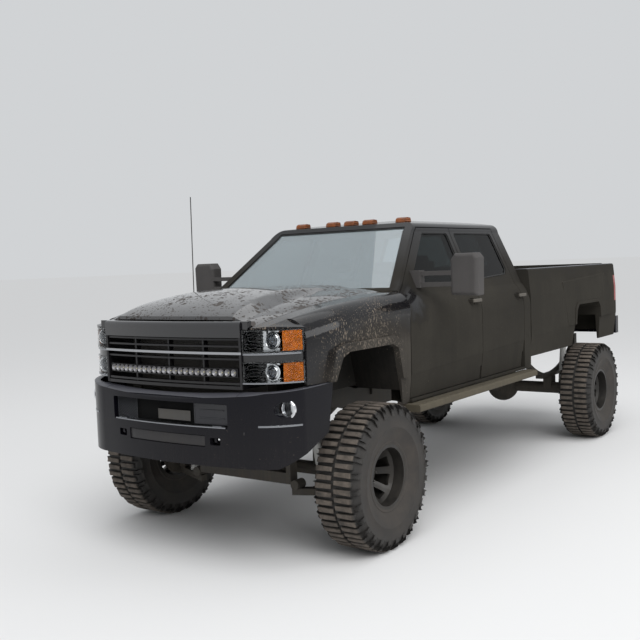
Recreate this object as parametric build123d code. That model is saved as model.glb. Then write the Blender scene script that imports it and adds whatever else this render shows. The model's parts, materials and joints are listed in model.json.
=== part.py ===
from build123d import *
import math
import os

# A lifted four-door off-road pickup with a long cargo bed, standing on its wheels.
# x runs forward, y to the vehicle's left, z up; the origin is on the ground under its middle.
# All lengths are millimetres. A station is a distance rearward from the front bumper's face.

os.makedirs("parts", exist_ok=True)

# Overall sizes
WHEELBASE = 4420.0
FRONT_AXLE_S = 990.0
REAR_AXLE_S = FRONT_AXLE_S + WHEELBASE
BED_OVERHANG = 971.0
BED_REAR_S = REAR_AXLE_S + BED_OVERHANG
REAR_BUMPER_REACH = 189.0
OVERALL_LENGTH = BED_REAR_S + REAR_BUMPER_REACH
TRACK = 2022.0
SHUT_GAP = 7.0
TOUCH_GAP = 0.3

# Wheels and tyres
TYRE_RADIUS = 508.0
TYRE_WIDTH = 350.0
TREAD_DEPTH = 22.0
LUG_COUNT = 22
LUG_WIDTH = 66.0
LUG_STAGGER = 0.25
CENTRE_GROOVE = 26.0
BEAD_RADIUS = 216.0
RIM_WIDTH = 250.0
RIM_WALL = 12.0
HUB_FACE = 81.0
BOLT_CIRCLE_RADIUS = 82.5
BOLT_HOLE_RADIUS = 8.0
BOLT_COUNT = 8
HUB_BORE_RADIUS = 59.0
DISC_THICKNESS = 16.0
WINDOW_INNER_RADIUS = 112.0
WINDOW_OUTER_RADIUS = 184.0
WINDOW_ANGLE = 29.0

# Cab section: half widths and heights of the body side, from the sill to the roof
SILL_Y = 1008.0
SILL_Z = 935.0
CREASE_Y = 1011.0
CREASE_S = 1549.0
CREASE_Z = 1138.0
CREASE_RISE = 0.033
CREASE_TUCK = 0.12
SIDE_Y = 1017.0
SIDE_Z = 1500.0
BELT_Y = 925.0
BELT_Z = 1740.0
RAIL_Y = 722.0
RAIL_Z = 2215.0
ROOF_EDGE_Y = 640.0
ROOF_EDGE_Z = 2295.0
ROOF_Z = 2350.0

# Cab lengths
CAB_FRONT_S = 1556.0
COWL_FRONT_S = 1497.0
CAB_REAR_S = 3815.0
SCREEN_BASE_S = 1560.0
SCREEN_BASE_Z = 1768.0
SCREEN_TOP_S = 2215.0
SCREEN_TOP_Z = 2296.0
ROOF_REAR_S = 3765.0
ROOF_REAR_Z = 2318.0
BACK_KNEE_Z = 1850.0
FLOOR_Z = 1080.0
FLOOR_THICKNESS = 30.0

# Doors
DOOR_DEPTH = 110.0
FRAME_DEPTH = 40.0
SKIN_LIP = 14.0
EDGE_RELIEF = 24.0
PILLAR_WALL = 35.0
SEAL_WIDTH = 45.0
DOOR_FRONT_S = CAB_FRONT_S + SHUT_GAP
DOOR_SPLIT_S = 2772.0
REAR_DOOR_END_S = 3660.0
DOOR_BOTTOM_Z = 962.0
DOOR_TOP_Z = 2248.0
HINGE_HEIGHTS = (1110.0, 1480.0)
GLASS_INSET = 14.0
GLASS_THICKNESS = 6.0

# Front body
HOOD_FRONT_S = 168.0
HOOD_REAR_S = 1488.0
HOOD_THICKNESS = 24.0
HOOD_SIDE_GAP = 9.0
HOOD_FRONT_Y = 690.0
HOOD_REAR_Y = 800.0
HOOD_FRONT_Z = 1612.0
HOOD_REAR_Z = 1758.0
HOOD_CROWN = 42.0
BULGE_SLOPE = 88.0
HOOD_REAR_BULGE = 24.0
FENDER_FRONT_S = 345.0
FENDER_WALL = 22.0
ARCH_FRONT = 445.0
ARCH_REAR = 470.0
ARCH_TOP_Z = 1395.0
FLARE_WIDTH = 58.0
FLARE_Y = 1034.0
FLARE_ROUND = 9.0

# Front bumper, grille and lamps
BUMPER_TOP_Z = 1150.0
BUMPER_BOTTOM_Z = 705.0
BUMPER_END_S = 556.0
BUMPER_WALL = 60.0
AIR_SLOT_Y = 530.0
AIR_SLOT_HEIGHTS = (956.0, 1114.0)
STEP_PLATE_Y = 350.0
STEP_HEIGHTS = (830.0, 905.0)
STEP_RECESS = 12.0
GRILLE_Y = 630.0
GRILLE_S = 88.0
GRILLE_BOW = 45.0
GRILLE_BOTTOM_Z = 1205.0
LIGHT_BAR_Y = 590.0
LIGHT_BAR_HEIGHTS = (1282.0, 1338.0)
CARRIER_S = 330.0
LAMP_OUTER_Y = 944.0
LAMP_OUTER_S = 318.0
LAMP_ROWS = [(1240.0, 1380.0), (1438.0, 1584.0)]
LAMP_RIM = 9.0
LAMP_DEPTH = 100.0
LENS_THICKNESS = 6.0
AMBER_Y = 862.0
AMBER_THICKNESS = 34.0
FOG_LAMP = (885.0, 1080.0)
FOG_RADIUS = 50.0
TOW_HOOK = (430.0, 868.0)

# Cargo bed
BED_GAP = 25.0
BED_FRONT_S = CAB_REAR_S + BED_GAP
BED_RAIL_Z = 1862.0
BED_FLOOR_Z = 1330.0
BED_FLOOR_THICKNESS = 30.0
BED_BOTTOM_Z = 1031.0
BED_INNER_Y = 862.0
BED_SIDE_Y = 1012.0
BED_SKIN = 25.0
BED_FRONT_WALL = 45.0
BED_ARCH_HALF = 428.0
BED_ARCH_TOP_Z = 1455.0
RAIL_ROUND = 20.0
FLANK_Y = 1024.0
LIP_WIDTH = 30.0
GROOVE_DEPTH = 6.0
GROOVE_WIDTH = 60.0
GROOVE_YS = (-560.0, -440.0, -320.0, -200.0, 200.0, 320.0, 440.0, 560.0)
WHEELHOUSE_Y = 640.0
WHEELHOUSE_WALL = 18.0
TAILGATE_DEPTH = 62.0
TAILGATE_TOP_Z = 1872.0

# Frame
FRAME_INNER_Y = 400.0
FRAME_OUTER_Y = 480.0
FRAME_FRONT_S = 330.0
FRAME_REAR_S = BED_REAR_S - 81.0
FRAME_MID_Z = 830.0
FRAME_END_Z = 900.0
FRAME_REAR_Z = 935.0
FRAME_HEIGHT = 175.0
# The rails drop behind the front axle and rise again ahead of the rear axle, over these lengths
DROP_S = FRONT_AXLE_S + 360.0
DROP_LENGTH = 250.0
KICK_S = REAR_AXLE_S - 1110.0
KICK_LENGTH = 300.0
KICK_SHIFT = 40.0
BODY_MOUNTS_S = (CAB_FRONT_S + 294.0, CAB_FRONT_S + 1144.0, CAB_REAR_S - 315.0)

# Front suspension
STEER_Y = TRACK / 2 - 221.0
ARM_LOW_Z = TYRE_RADIUS - 118.0
ARM_HIGH_Z = TYRE_RADIUS + 222.0
DIFF_Z = TYRE_RADIUS + 4.0
DIFF_RADIUS = 95.0
CROSS_TUBE_LOW_Z = DIFF_Z - 92.0
CROSS_TUBE_HIGH_Z = DIFF_Z - 12.0

# Running boards and mirrors
STEP_FRONT_S = 1500.0
STEP_REAR_S = 3720.0
STEP_OUTER_Y = 1110.0
STEP_TOP_Z = 925.0
STEP_DEPTH = 55.0
MIRROR_S = 1905.0
MIRROR_INNER_Y = 1195.0
MIRROR_OUTER_Y = 1425.0
MIRROR_ARM_HEIGHTS = (1795.0, 1880.0)
MIRROR_LOW_Z = 1705.0
MIRROR_HIGH_Z = 2025.0


def at(station):
    """Gives x for a station measured rearward from the front bumper's face."""
    return OVERALL_LENGTH / 2 - station


def block(stations, widths, heights):
    """A box between two stations, two widths and two heights."""
    low_s, high_s = stations
    low_y, high_y = widths
    low_z, high_z = heights
    centre = Pos(at((low_s + high_s) / 2), (low_y + high_y) / 2, (low_z + high_z) / 2)
    return centre * Box(high_s - low_s, high_y - low_y, high_z - low_z)


def rounded(face, radius):
    """Rounds every corner of a flat face."""
    if radius == 0:
        return face
    return face.fillet_2d(radius, face.vertices())


def side_prism(points, low_y, high_y, radius=0):
    """An outline of (station, height) points drawn on the vehicle's side, carried across it."""
    wire = Wire.make_polygon([(at(s), low_y, z) for s, z in points], close=True)
    return extrude(rounded(Face(wire), radius), amount=high_y - low_y, dir=(0, 1, 0))


def plan_prism(points, low_z, high_z, radius=0):
    """An outline of (station, width) points seen from above, carried upward."""
    wire = Wire.make_polygon([(at(s), y, low_z) for s, y in points], close=True)
    return extrude(rounded(Face(wire), radius), amount=high_z - low_z, dir=(0, 0, 1))


def cross_prism(points, low_s, high_s, radius=0):
    """An outline of (width, height) points seen from the front, carried rearward."""
    wire = Wire.make_polygon([(at(low_s), y, z) for y, z in points], close=True)
    return extrude(rounded(Face(wire), radius), amount=high_s - low_s, dir=(-1, 0, 0))


def rod(start, end, radius):
    """A round bar between two (station, width, height) points."""
    first = Vector(at(start[0]), start[1], start[2])
    last = Vector(at(end[0]), end[1], end[2])
    plane = Plane(origin=first, z_dir=last - first)
    return extrude(plane * Circle(radius), amount=(last - first).length)


def other_side(shape):
    """The same shape on the other side of the vehicle."""
    return mirror(shape, about=Plane.XZ)


def save(name, *shapes):
    """Writes one node, which holds all the solids of the given shapes."""
    solids = [solid for shape in shapes for solid in shape.solids()]
    export_step(Compound(solids), f"parts/{name}.step")


def save_pair(name, shape):
    """Writes one node that holds a piece and its copy on the other side."""
    save(name, shape, other_side(shape))


# Below a crease that rises rearward, the doors, fenders and bed are tucked in
def tucked_part():
    """What lies outside the tucked-in lower flank, on the left side."""
    start_s = FRONT_AXLE_S
    drop = CREASE_Z - SILL_Z + 100
    z = CREASE_Z + (start_s - CREASE_S) * CREASE_RISE
    x = at(start_s)
    corners = [(x, CREASE_Y, z), (x, CREASE_Y + 100, z), (x, CREASE_Y + 100, z - 3 * drop),
               (x, CREASE_Y - 3 * drop * CREASE_TUCK, z - 3 * drop)]
    face = Face(Wire.make_polygon([Vector(*corner) for corner in corners], close=True))
    reach = BED_REAR_S - start_s + 100
    return extrude(face, amount=reach, dir=(-1, 0, CREASE_RISE))


tuck = tucked_part()


# The cab's section, from which the shell, the doors and the side glass are all cut
def cab_core(side_inset, frame_inset, roof_inset, low_s, high_s, low_z):
    """The cab's cross-section, drawn in by the given insets and carried rearward."""
    x = at(low_s)

    def corner(y, z):
        return Vector(x, y, z)

    def half(side):
        sill = corner(side * (SILL_Y - side_inset), low_z)
        flank = corner(side * (SIDE_Y - side_inset), SIDE_Z)
        bend = corner(side * (SIDE_Y - side_inset - 14), SIDE_Z + 110)
        belt = corner(side * (BELT_Y - frame_inset), BELT_Z)
        rail = corner(side * (RAIL_Y - frame_inset), RAIL_Z)
        turn = corner(side * (ROOF_EDGE_Y + 55 - frame_inset), ROOF_EDGE_Z - 22 - roof_inset)
        edge = corner(side * (ROOF_EDGE_Y - frame_inset), ROOF_EDGE_Z - roof_inset)
        return sill, edge, [
            Edge.make_line(sill, flank),
            Edge.make_three_point_arc(flank, bend, belt),
            Edge.make_line(belt, rail),
            Edge.make_three_point_arc(rail, turn, edge),
        ]

    left_sill, left_edge, left = half(1)
    right_sill, right_edge, right = half(-1)
    crown = Edge.make_three_point_arc(left_edge, corner(0, ROOF_Z - roof_inset), right_edge)
    base = Edge.make_line(right_sill, left_sill)
    outline = Wire.combine(left + [crown] + right + [base])[0]
    return extrude(Face(outline), amount=high_s - low_s, dir=(-1, 0, 0))


def cab_profile(inset):
    """The cab seen from the side, drawn in by an inset, as a prism as wide as the cab."""
    width = SIDE_Y + 50
    slope = math.atan2(SCREEN_TOP_Z - SCREEN_BASE_Z, SCREEN_TOP_S - SCREEN_BASE_S)
    shift = inset / math.sin(slope)
    low = SILL_Z if inset == 0 else FLOOR_Z
    front = CAB_FRONT_S + inset
    base = (SCREEN_BASE_S + shift, SCREEN_BASE_Z)
    top = (SCREEN_TOP_S + shift * 0.75, SCREEN_TOP_Z - inset * 0.6)
    crown = ((SCREEN_TOP_S + ROOF_REAR_S) / 2, ROOF_Z - inset)
    rear = (ROOF_REAR_S - inset, ROOF_REAR_Z - inset)
    knee = (CAB_REAR_S - inset, BACK_KNEE_Z)

    def corner(point):
        return Vector(at(point[0]), -width, point[1])

    edges = [
        Edge.make_line(corner((front, low)), corner((front, SCREEN_BASE_Z - 8))),
        Edge.make_line(corner((front, SCREEN_BASE_Z - 8)), corner(base)),
        Edge.make_line(corner(base), corner(top)),
        Edge.make_three_point_arc(corner(top), corner(crown), corner(rear)),
        Edge.make_line(corner(rear), corner(knee)),
        Edge.make_line(corner(knee), corner((CAB_REAR_S - inset, low))),
        Edge.make_line(corner((CAB_REAR_S - inset, low)), corner((front, low))),
    ]
    outline = Wire.combine(edges)[0]
    return extrude(Face(outline), amount=2 * width, dir=(0, 1, 0))


# Outlines of the doors and their windows, as (station, height) points
SCREEN_SLOPE = (SCREEN_TOP_S - SCREEN_BASE_S) / (SCREEN_TOP_Z - SCREEN_BASE_Z)
PILLAR_STEP = 82.0
FRONT_DOOR = [
    (DOOR_FRONT_S, DOOR_BOTTOM_Z),
    (DOOR_FRONT_S, BELT_Z),
    (SCREEN_BASE_S + PILLAR_STEP, SCREEN_BASE_Z + 20),
    (SCREEN_BASE_S + PILLAR_STEP + SCREEN_SLOPE * (DOOR_TOP_Z - SCREEN_BASE_Z - 20), DOOR_TOP_Z),
    (DOOR_SPLIT_S, DOOR_TOP_Z),
    (DOOR_SPLIT_S, DOOR_BOTTOM_Z),
]
REAR_DOOR = [
    (DOOR_SPLIT_S + SHUT_GAP, DOOR_BOTTOM_Z),
    (DOOR_SPLIT_S + SHUT_GAP, DOOR_TOP_Z),
    (REAR_DOOR_END_S - 34, DOOR_TOP_Z),
    (REAR_DOOR_END_S, BACK_KNEE_Z + 20),
    (REAR_DOOR_END_S, DOOR_BOTTOM_Z),
]
WINDOW_LOW_Z = 1772.0
WINDOW_TOP_Z = 2206.0
WINDOW_FRAME = 54.0
SAIL_LENGTH = 180.0
# The window line climbs rearward, and kicks up at the rear door's end
window_start_s = SCREEN_BASE_S + PILLAR_STEP + 103
FRONT_WINDOW = [
    (window_start_s + SAIL_LENGTH, WINDOW_LOW_Z),
    (window_start_s + SAIL_LENGTH, WINDOW_LOW_Z + SAIL_LENGTH / SCREEN_SLOPE),
    (window_start_s + SCREEN_SLOPE * (WINDOW_TOP_Z - WINDOW_LOW_Z), WINDOW_TOP_Z),
    (DOOR_SPLIT_S - WINDOW_FRAME, WINDOW_TOP_Z),
    (DOOR_SPLIT_S - WINDOW_FRAME, WINDOW_LOW_Z + 16),
]
REAR_WINDOW = [
    (DOOR_SPLIT_S + SHUT_GAP + WINDOW_FRAME, WINDOW_LOW_Z + 18),
    (DOOR_SPLIT_S + SHUT_GAP + WINDOW_FRAME, WINDOW_TOP_Z),
    (REAR_DOOR_END_S - WINDOW_FRAME - 28, WINDOW_TOP_Z),
    (REAR_DOOR_END_S - WINDOW_FRAME, WINDOW_LOW_Z + 96),
    (REAR_DOOR_END_S - WINDOW_FRAME - 58, WINDOW_LOW_Z + 50),
]


def grown(points, amount):
    """A door's outline moved outward by an amount, and further in when it is negative."""
    wire = Wire.make_polygon([(at(s), 0, z) for s, z in points], close=True)
    moved = offset(Face(wire), amount=amount, kind=Kind.INTERSECTION)
    return extrude(moved, amount=2 * SIDE_Y, dir=(0, 1, 0))


core_span = (CAB_FRONT_S - 200, CAB_REAR_S + 200)
door_core = cab_core(DOOR_DEPTH, FRAME_DEPTH, 0, *core_span, SILL_Z - 200)
lip_core = cab_core(SKIN_LIP, SKIN_LIP, 0, *core_span, SILL_Z - 200)
full_core = cab_core(0, 0, 0, *core_span, SILL_Z - 200)
rebate_core = cab_core(DOOR_DEPTH + SHUT_GAP, FRAME_DEPTH + SHUT_GAP, 0, *core_span, SILL_Z - 200)


def make_door(outline, window):
    """A door's skin and inner panel with its window frame, and the glass in it."""
    end = max(s for s, z in outline)
    slab = (grown(outline, 0) & full_core) - door_core
    relief = block((end - EDGE_RELIEF, end + 1), (0, 1200), (0, 3000)) & lip_core
    hole = side_prism(window, 300, 1300, 28)
    start = min(s for s, z in outline)
    leaves = [block((start + 12, start + 38), (850, 960), (z - 30, z + 30)) for z in HINGE_HEIGHTS]
    leaf_core = cab_core(DOOR_DEPTH + SHUT_GAP - TOUCH_GAP, FRAME_DEPTH, 0, *core_span, SILL_Z - 200)
    panel = (slab - relief - hole) + [leaf - leaf_core for leaf in leaves]
    glass_outer = cab_core(GLASS_INSET, GLASS_INSET, 0, *core_span, SILL_Z - 200)
    glass_depth = GLASS_INSET + GLASS_THICKNESS
    glass_inner = cab_core(glass_depth, glass_depth, 0, *core_span, SILL_Z - 200)
    pane = (hole & glass_outer) - glass_inner
    return panel, pane


front_door, front_pane = make_door(FRONT_DOOR, FRONT_WINDOW)
rear_door, rear_pane = make_door(REAR_DOOR, REAR_WINDOW)


# Door handles, one bar with two feet on each door
HANDLE_Z = 1632.0
HANDLE_LENGTH = 150.0
POCKET_LENGTH = 76.0
POCKET_Y = 981.0
HANDLES = {"front": DOOR_SPLIT_S - 212, "rear": REAR_DOOR_END_S - 160}


def make_handle(station):
    """A pull handle that stands off the door's skin."""
    bar = block((station, station + HANDLE_LENGTH), (1032, 1050), (HANDLE_Z - 14, HANDLE_Z + 14))
    bar = fillet(bar.edges(), 7)
    feet = [block((s, s + 30), (980, 1036), (HANDLE_Z - 12, HANDLE_Z + 12))
            for s in (station + 4, station + HANDLE_LENGTH - 34)]
    return bar + feet


def with_handle(door, station):
    """Sinks a finger pocket in the door's skin and fuses the handle over it."""
    middle = station + HANDLE_LENGTH / 2
    pocket = block((middle - POCKET_LENGTH / 2, middle + POCKET_LENGTH / 2), (POCKET_Y, SIDE_Y + 20),
                   (HANDLE_Z - 36, HANDLE_Z + 22))
    handle = make_handle(station) - lip_core
    return door - fillet(pocket.edges(), 12) - tuck + handle


front_door = with_handle(front_door, HANDLES["front"])
rear_door = with_handle(rear_door, HANDLES["rear"])

for side, place in (("left", lambda shape: shape), ("right", other_side)):
    save(f"door_front_{side}", place(front_door))
    save(f"door_rear_{side}", place(rear_door))
    save(f"glass_front_{side}", place(front_pane))
    save(f"glass_rear_{side}", place(rear_pane))


# Tow mirrors, each a tall head on two arms from the door's front window corner
def make_mirror():
    """A mirror's head, pulled out to the end of its two arms, and the foot on the door."""
    low_z, high_z = MIRROR_LOW_Z, MIRROR_HIGH_Z
    inner_y, outer_y = MIRROR_INNER_Y, MIRROR_OUTER_Y
    head = cross_prism([(inner_y, low_z + 8), (outer_y - 6, low_z), (outer_y, high_z - 36),
                        (outer_y - 30, high_z), (inner_y + 36, high_z), (inner_y, high_z - 50)],
                       MIRROR_S - 55, MIRROR_S + 65, 14)
    head = fillet(head.faces().sort_by(Axis.X)[-1].edges(), 30)
    head = fillet(head.faces().sort_by(Axis.X)[0].edges(), 8)
    glass_seat = block((MIRROR_S + 60, MIRROR_S + 66), (inner_y + 17, outer_y - 17),
                       (low_z + 22, high_z - 22))
    head = head - fillet(glass_seat.edges().filter_by(Axis.X), 22)
    arms = [block((MIRROR_S - 47, MIRROR_S - 3), (900, inner_y + 40), (z - 17, z + 17))
            for z in MIRROR_ARM_HEIGHTS]
    foot = block((MIRROR_S - 62, MIRROR_S + 10), (850, 945), (1772, 1905))
    return (head + arms + foot) - full_core


tow_mirror = make_mirror()
save("mirror_left", tow_mirror)
save("mirror_right", other_side(tow_mirror))


# Cab shell, hollow, with the door openings, the windshield and the rear window cut out
def slanted(base, top, depth_out, depth_in, margin_low, margin_high):
    """A slab that follows a sloping window, as (station, height) points in its own plane."""
    run = Vector(top[0] - base[0], top[1] - base[1])
    along = run.normalized()
    away = Vector(-along.Y, along.X)
    start = Vector(*base) + along * margin_low
    end = Vector(*top) - along * margin_high
    corners = [start + away * depth_out, end + away * depth_out,
               end - away * depth_in, start - away * depth_in]
    return [(corner.X, corner.Y) for corner in corners]


SCREEN_BASE = (SCREEN_BASE_S, SCREEN_BASE_Z)
SCREEN_TOP = (SCREEN_TOP_S, SCREEN_TOP_Z)
BACK_TOP = (ROOF_REAR_S, ROOF_REAR_Z)
BACK_KNEE = (CAB_REAR_S, BACK_KNEE_Z)
CAB_WALL = 45.0
SCREEN_PILLAR = 72.0

wide_core = cab_core(SCREEN_PILLAR, SCREEN_PILLAR, 0, *core_span, SILL_Z - 200)
narrow_core = cab_core(SCREEN_PILLAR + 160, SCREEN_PILLAR + 160, 0, *core_span, SILL_Z - 200)


def screen_part(core, base, top, depth_out, depth_in, margin_low, margin_high):
    """The part of a sloping window's slab that lies inside a core."""
    outline = slanted(base, top, depth_out, depth_in, margin_low, margin_high)
    return side_prism(outline, -1100, 1100) & core


screen_hole = screen_part(wide_core, SCREEN_BASE, SCREEN_TOP, 60, 120, 30, 58)
screen_glass = screen_part(wide_core, SCREEN_BASE, SCREEN_TOP, -12, 20, 30, 58)
back_hole = screen_part(narrow_core, BACK_KNEE, BACK_TOP, 120, 60, 50, 90)
back_glass = screen_part(narrow_core, BACK_KNEE, BACK_TOP, 20, -12, 50, 90)

cab_body = full_core & cab_profile(0)
cavity_core = cab_core(DOOR_DEPTH + SHUT_GAP + PILLAR_WALL, FRAME_DEPTH + SHUT_GAP + PILLAR_WALL,
                       CAB_WALL, *core_span, SILL_Z - 200)
cavity = cavity_core & cab_profile(CAB_WALL)
underfloor = block((CAB_FRONT_S - 1, CAB_REAR_S + 1), (-830, 830),
                   (SILL_Z - 1, FLOOR_Z - FLOOR_THICKNESS))
cab_shell = cab_body - cavity - underfloor
under_sill = block((CAB_FRONT_S, CAB_REAR_S), (0, 2 * SIDE_Y), (SILL_Z, FLOOR_Z + 12))
for outline in (FRONT_DOOR, REAR_DOOR):
    rebate = grown(outline, SHUT_GAP) - rebate_core
    aperture = grown(outline, -SEAL_WIDTH) - under_sill
    for cut in (rebate, aperture):
        cab_shell = cab_shell - cut - other_side(cut)
cab_shell = cab_shell - screen_hole - back_hole
cowl = block((COWL_FRONT_S, CAB_FRONT_S), (-780, 780), (1400, 1738))
cab_shell = cab_shell + cowl
save("cab_shell", cab_shell)
save("cab_glass", screen_glass, back_glass)


# Hood, a crowned panel with a raised middle
def hood_half_width(station):
    """The hood's half width at a station."""
    share = (station - HOOD_FRONT_S) / (HOOD_REAR_S - HOOD_FRONT_S)
    return HOOD_FRONT_Y + (HOOD_REAR_Y - HOOD_FRONT_Y) * share


def hood_edge_z(station):
    """The height of the hood's side edge at a station."""
    share = (station - HOOD_FRONT_S) / (HOOD_REAR_S - HOOD_FRONT_S)
    return HOOD_FRONT_Z + (HOOD_REAR_Z - HOOD_FRONT_Z) * share + 30 * math.sin(math.pi * share)


def hood_section(station, roll, bulge, bulge_y):
    """The hood's cross-section at a station: two crowned sides and a raised, crowned middle."""
    half = hood_half_width(station)
    edge_z = hood_edge_z(station) - roll
    foot_y = bulge_y + BULGE_SLOPE
    foot_z = edge_z + HOOD_CROWN * 0.86
    wing = ((half + foot_y) / 2, edge_z + HOOD_CROWN * 0.58)
    ridge_z = foot_z + bulge * 0.8
    x = at(station)

    def edges(drop):
        def corner(y, z):
            return Vector(x, y, z - drop)

        return [
            Edge.make_three_point_arc(corner(half, edge_z), corner(*wing), corner(foot_y, foot_z)),
            Edge.make_line(corner(foot_y, foot_z), corner(bulge_y, ridge_z)),
            Edge.make_three_point_arc(corner(bulge_y, ridge_z), corner(0, edge_z + HOOD_CROWN + bulge),
                                      corner(-bulge_y, ridge_z)),
            Edge.make_line(corner(-bulge_y, ridge_z), corner(-foot_y, foot_z)),
            Edge.make_three_point_arc(corner(-foot_y, foot_z), corner(-wing[0], wing[1]),
                                      corner(-half, edge_z)),
        ]

    sides = [Edge.make_line(Vector(x, y, edge_z), Vector(x, y, edge_z - HOOD_THICKNESS))
             for y in (half, -half)]
    return Wire.combine(edges(0) + edges(HOOD_THICKNESS) + sides)[0]


# Sections as (station, drop of the rolled front, rise of the raised middle, half width of its flat top)
HOOD_SECTIONS = [
    (GRILLE_S, 16.0, 32.0, 530.0),
    (220.0, 4.0, 62.0, 515.0),
    (420.0, 0.0, 78.0, 490.0),
    (700.0, 0.0, 74.0, 455.0),
    (1080.0, 0.0, 50.0, 430.0),
    (HOOD_REAR_S, 0.0, HOOD_REAR_BULGE, 430.0),
]
hood = Solid.make_loft([hood_section(*row) for row in HOOD_SECTIONS])


def bowed_edge(side_s, middle_s, half_width, low_z, high_z):
    """What lies ahead of a bowed line across the vehicle, between two heights."""
    left, middle, right = [Vector(at(s), y, low_z) for s, y in
                           ((side_s, half_width), (middle_s, 0), (side_s, -half_width))]
    ahead = [Vector(at(-200), -half_width, low_z), Vector(at(-200), half_width, low_z)]
    outline = Wire.combine([
        Edge.make_three_point_arc(left, middle, right),
        Edge.make_line(right, ahead[0]),
        Edge.make_line(ahead[0], ahead[1]),
        Edge.make_line(ahead[1], left),
    ])[0]
    return extrude(Face(outline), amount=high_z - low_z, dir=(0, 0, 1))


HEADER_DEPTH = 48.0
hood_side_s = GRILLE_S + HEADER_DEPTH + SHUT_GAP + 24
hood_nose = bowed_edge(hood_side_s, hood_side_s - GRILLE_BOW - 12, HOOD_REAR_Y, HOOD_FRONT_Z - 200,
                       HOOD_FRONT_Z + 200)
hood = hood - hood_nose
HOOD_HINGE_Y = 640.0
for side in (1, -1):
    span = sorted((side * (HOOD_HINGE_Y - 20), side * (HOOD_HINGE_Y + 20)))
    hood = hood + block((HOOD_REAR_S - 20, COWL_FRONT_S - TOUCH_GAP), span,
                        (HOOD_REAR_Z - 68, HOOD_REAR_Z + 8))
lamp_clearance = block((0, FENDER_FRONT_S), (-HOOD_REAR_Y, HOOD_REAR_Y), (1000, LAMP_ROWS[1][1] + 4))
hood = hood - lamp_clearance
save("hood", hood)


# The lamps' outline from above, which wraps round each front corner
def lamp_body(low_z, high_z, cut_back=0):
    """A lamp's housing between two heights, with its bowed face drawn back by an amount."""
    inner = Vector(at(GRILLE_S + 2 + cut_back), GRILLE_Y + 3, low_z)
    middle = Vector(at(GRILLE_S + 72 + cut_back), 800, low_z)
    outer = Vector(at(LAMP_OUTER_S), LAMP_OUTER_Y - cut_back, low_z)
    corner_out = Vector(at(FENDER_FRONT_S - 3), LAMP_OUTER_Y + 4 - cut_back, low_z)
    corner_in = Vector(at(FENDER_FRONT_S - 3), GRILLE_Y + 3, low_z)
    outline = Wire.combine([
        Edge.make_three_point_arc(inner, middle, outer),
        Edge.make_line(outer, corner_out),
        Edge.make_line(corner_out, corner_in),
        Edge.make_line(corner_in, inner),
    ])[0]
    return extrude(Face(outline), amount=high_z - low_z, dir=(0, 0, 1))


# Front fenders, each a skin from the lamps to the door with a squared wheel opening
def fender_section(station, side_y, shoulder_drop):
    """A fender's cross-section at a station, as a closed wire."""
    top_y = hood_half_width(station) + HOOD_SIDE_GAP
    top_z = hood_edge_z(station)
    wall = FENDER_WALL
    outer = [(side_y - 12, SILL_Z), (side_y, top_z - shoulder_drop),
             (side_y - 45, top_z - 40), (top_y + 90, top_z - 4), (top_y, top_z)]
    inner = [(side_y - 12 - wall, SILL_Z), (side_y - wall, top_z - shoulder_drop),
             (side_y - 45 - wall, top_z - 40 - wall), (top_y + 90, top_z - 4 - wall),
             (top_y, top_z - wall)]
    x = at(station)

    def edges(points):
        low, start, bend, end, top = [Vector(x, y, z) for y, z in points]
        return [Edge.make_line(low, start), Edge.make_three_point_arc(start, bend, end),
                Edge.make_line(end, top)]

    def join(first, last):
        return Edge.make_line(Vector(x, *first), Vector(x, *last))

    pieces = edges(outer) + edges(inner) + [join(outer[0], inner[0]), join(outer[-1], inner[-1])]
    return Wire.combine(pieces)[0]


FENDER_SECTIONS = [(FENDER_FRONT_S, 956.0, 150.0), (620.0, 1000.0, 165.0),
                   (1000.0, 1014.0, 175.0), (CAB_FRONT_S, SIDE_Y, 190.0)]
fender_skin = Solid.make_loft([fender_section(*row) for row in FENDER_SECTIONS])

ARCH_OPENING = [
    (FRONT_AXLE_S - ARCH_FRONT, SILL_Z - 10),
    (FRONT_AXLE_S - ARCH_FRONT + 6, BUMPER_TOP_Z + 62),
    (FRONT_AXLE_S - ARCH_FRONT + 95, ARCH_TOP_Z - 32),
    (FRONT_AXLE_S - ARCH_FRONT + 175, ARCH_TOP_Z),
    (FRONT_AXLE_S + ARCH_REAR - 190, ARCH_TOP_Z),
    (FRONT_AXLE_S + ARCH_REAR - 110, ARCH_TOP_Z - 32),
    (FRONT_AXLE_S + ARCH_REAR, SILL_Z - 10),
]
FLARE_OUTLINE = [
    (FRONT_AXLE_S - ARCH_FRONT - FLARE_WIDTH * 0.7, BUMPER_TOP_Z + 66),
    (FRONT_AXLE_S - ARCH_FRONT + 25, ARCH_TOP_Z + FLARE_WIDTH * 0.3),
    (FRONT_AXLE_S - ARCH_FRONT + 130, ARCH_TOP_Z + FLARE_WIDTH),
    (FRONT_AXLE_S + ARCH_REAR - 150, ARCH_TOP_Z + FLARE_WIDTH),
    (FRONT_AXLE_S + ARCH_REAR - 40, ARCH_TOP_Z + FLARE_WIDTH * 0.3),
    (FRONT_AXLE_S + ARCH_REAR + FLARE_WIDTH, SILL_Z),
    (FRONT_AXLE_S + ARCH_REAR - 60, SILL_Z),
    (FRONT_AXLE_S, BUMPER_TOP_Z + 66),
]
opening = side_prism(ARCH_OPENING, 500, 1200, 20)
flare = side_prism(FLARE_OUTLINE, 985, FLARE_Y, 12)
flare = fillet(flare.faces().sort_by(Axis.Y)[-1].edges(), FLARE_ROUND)
below_bumper = block((FENDER_FRONT_S - 50, BUMPER_END_S + 4), (500, 1200),
                     (SILL_Z - 50, BUMPER_TOP_Z + 66))


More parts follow.
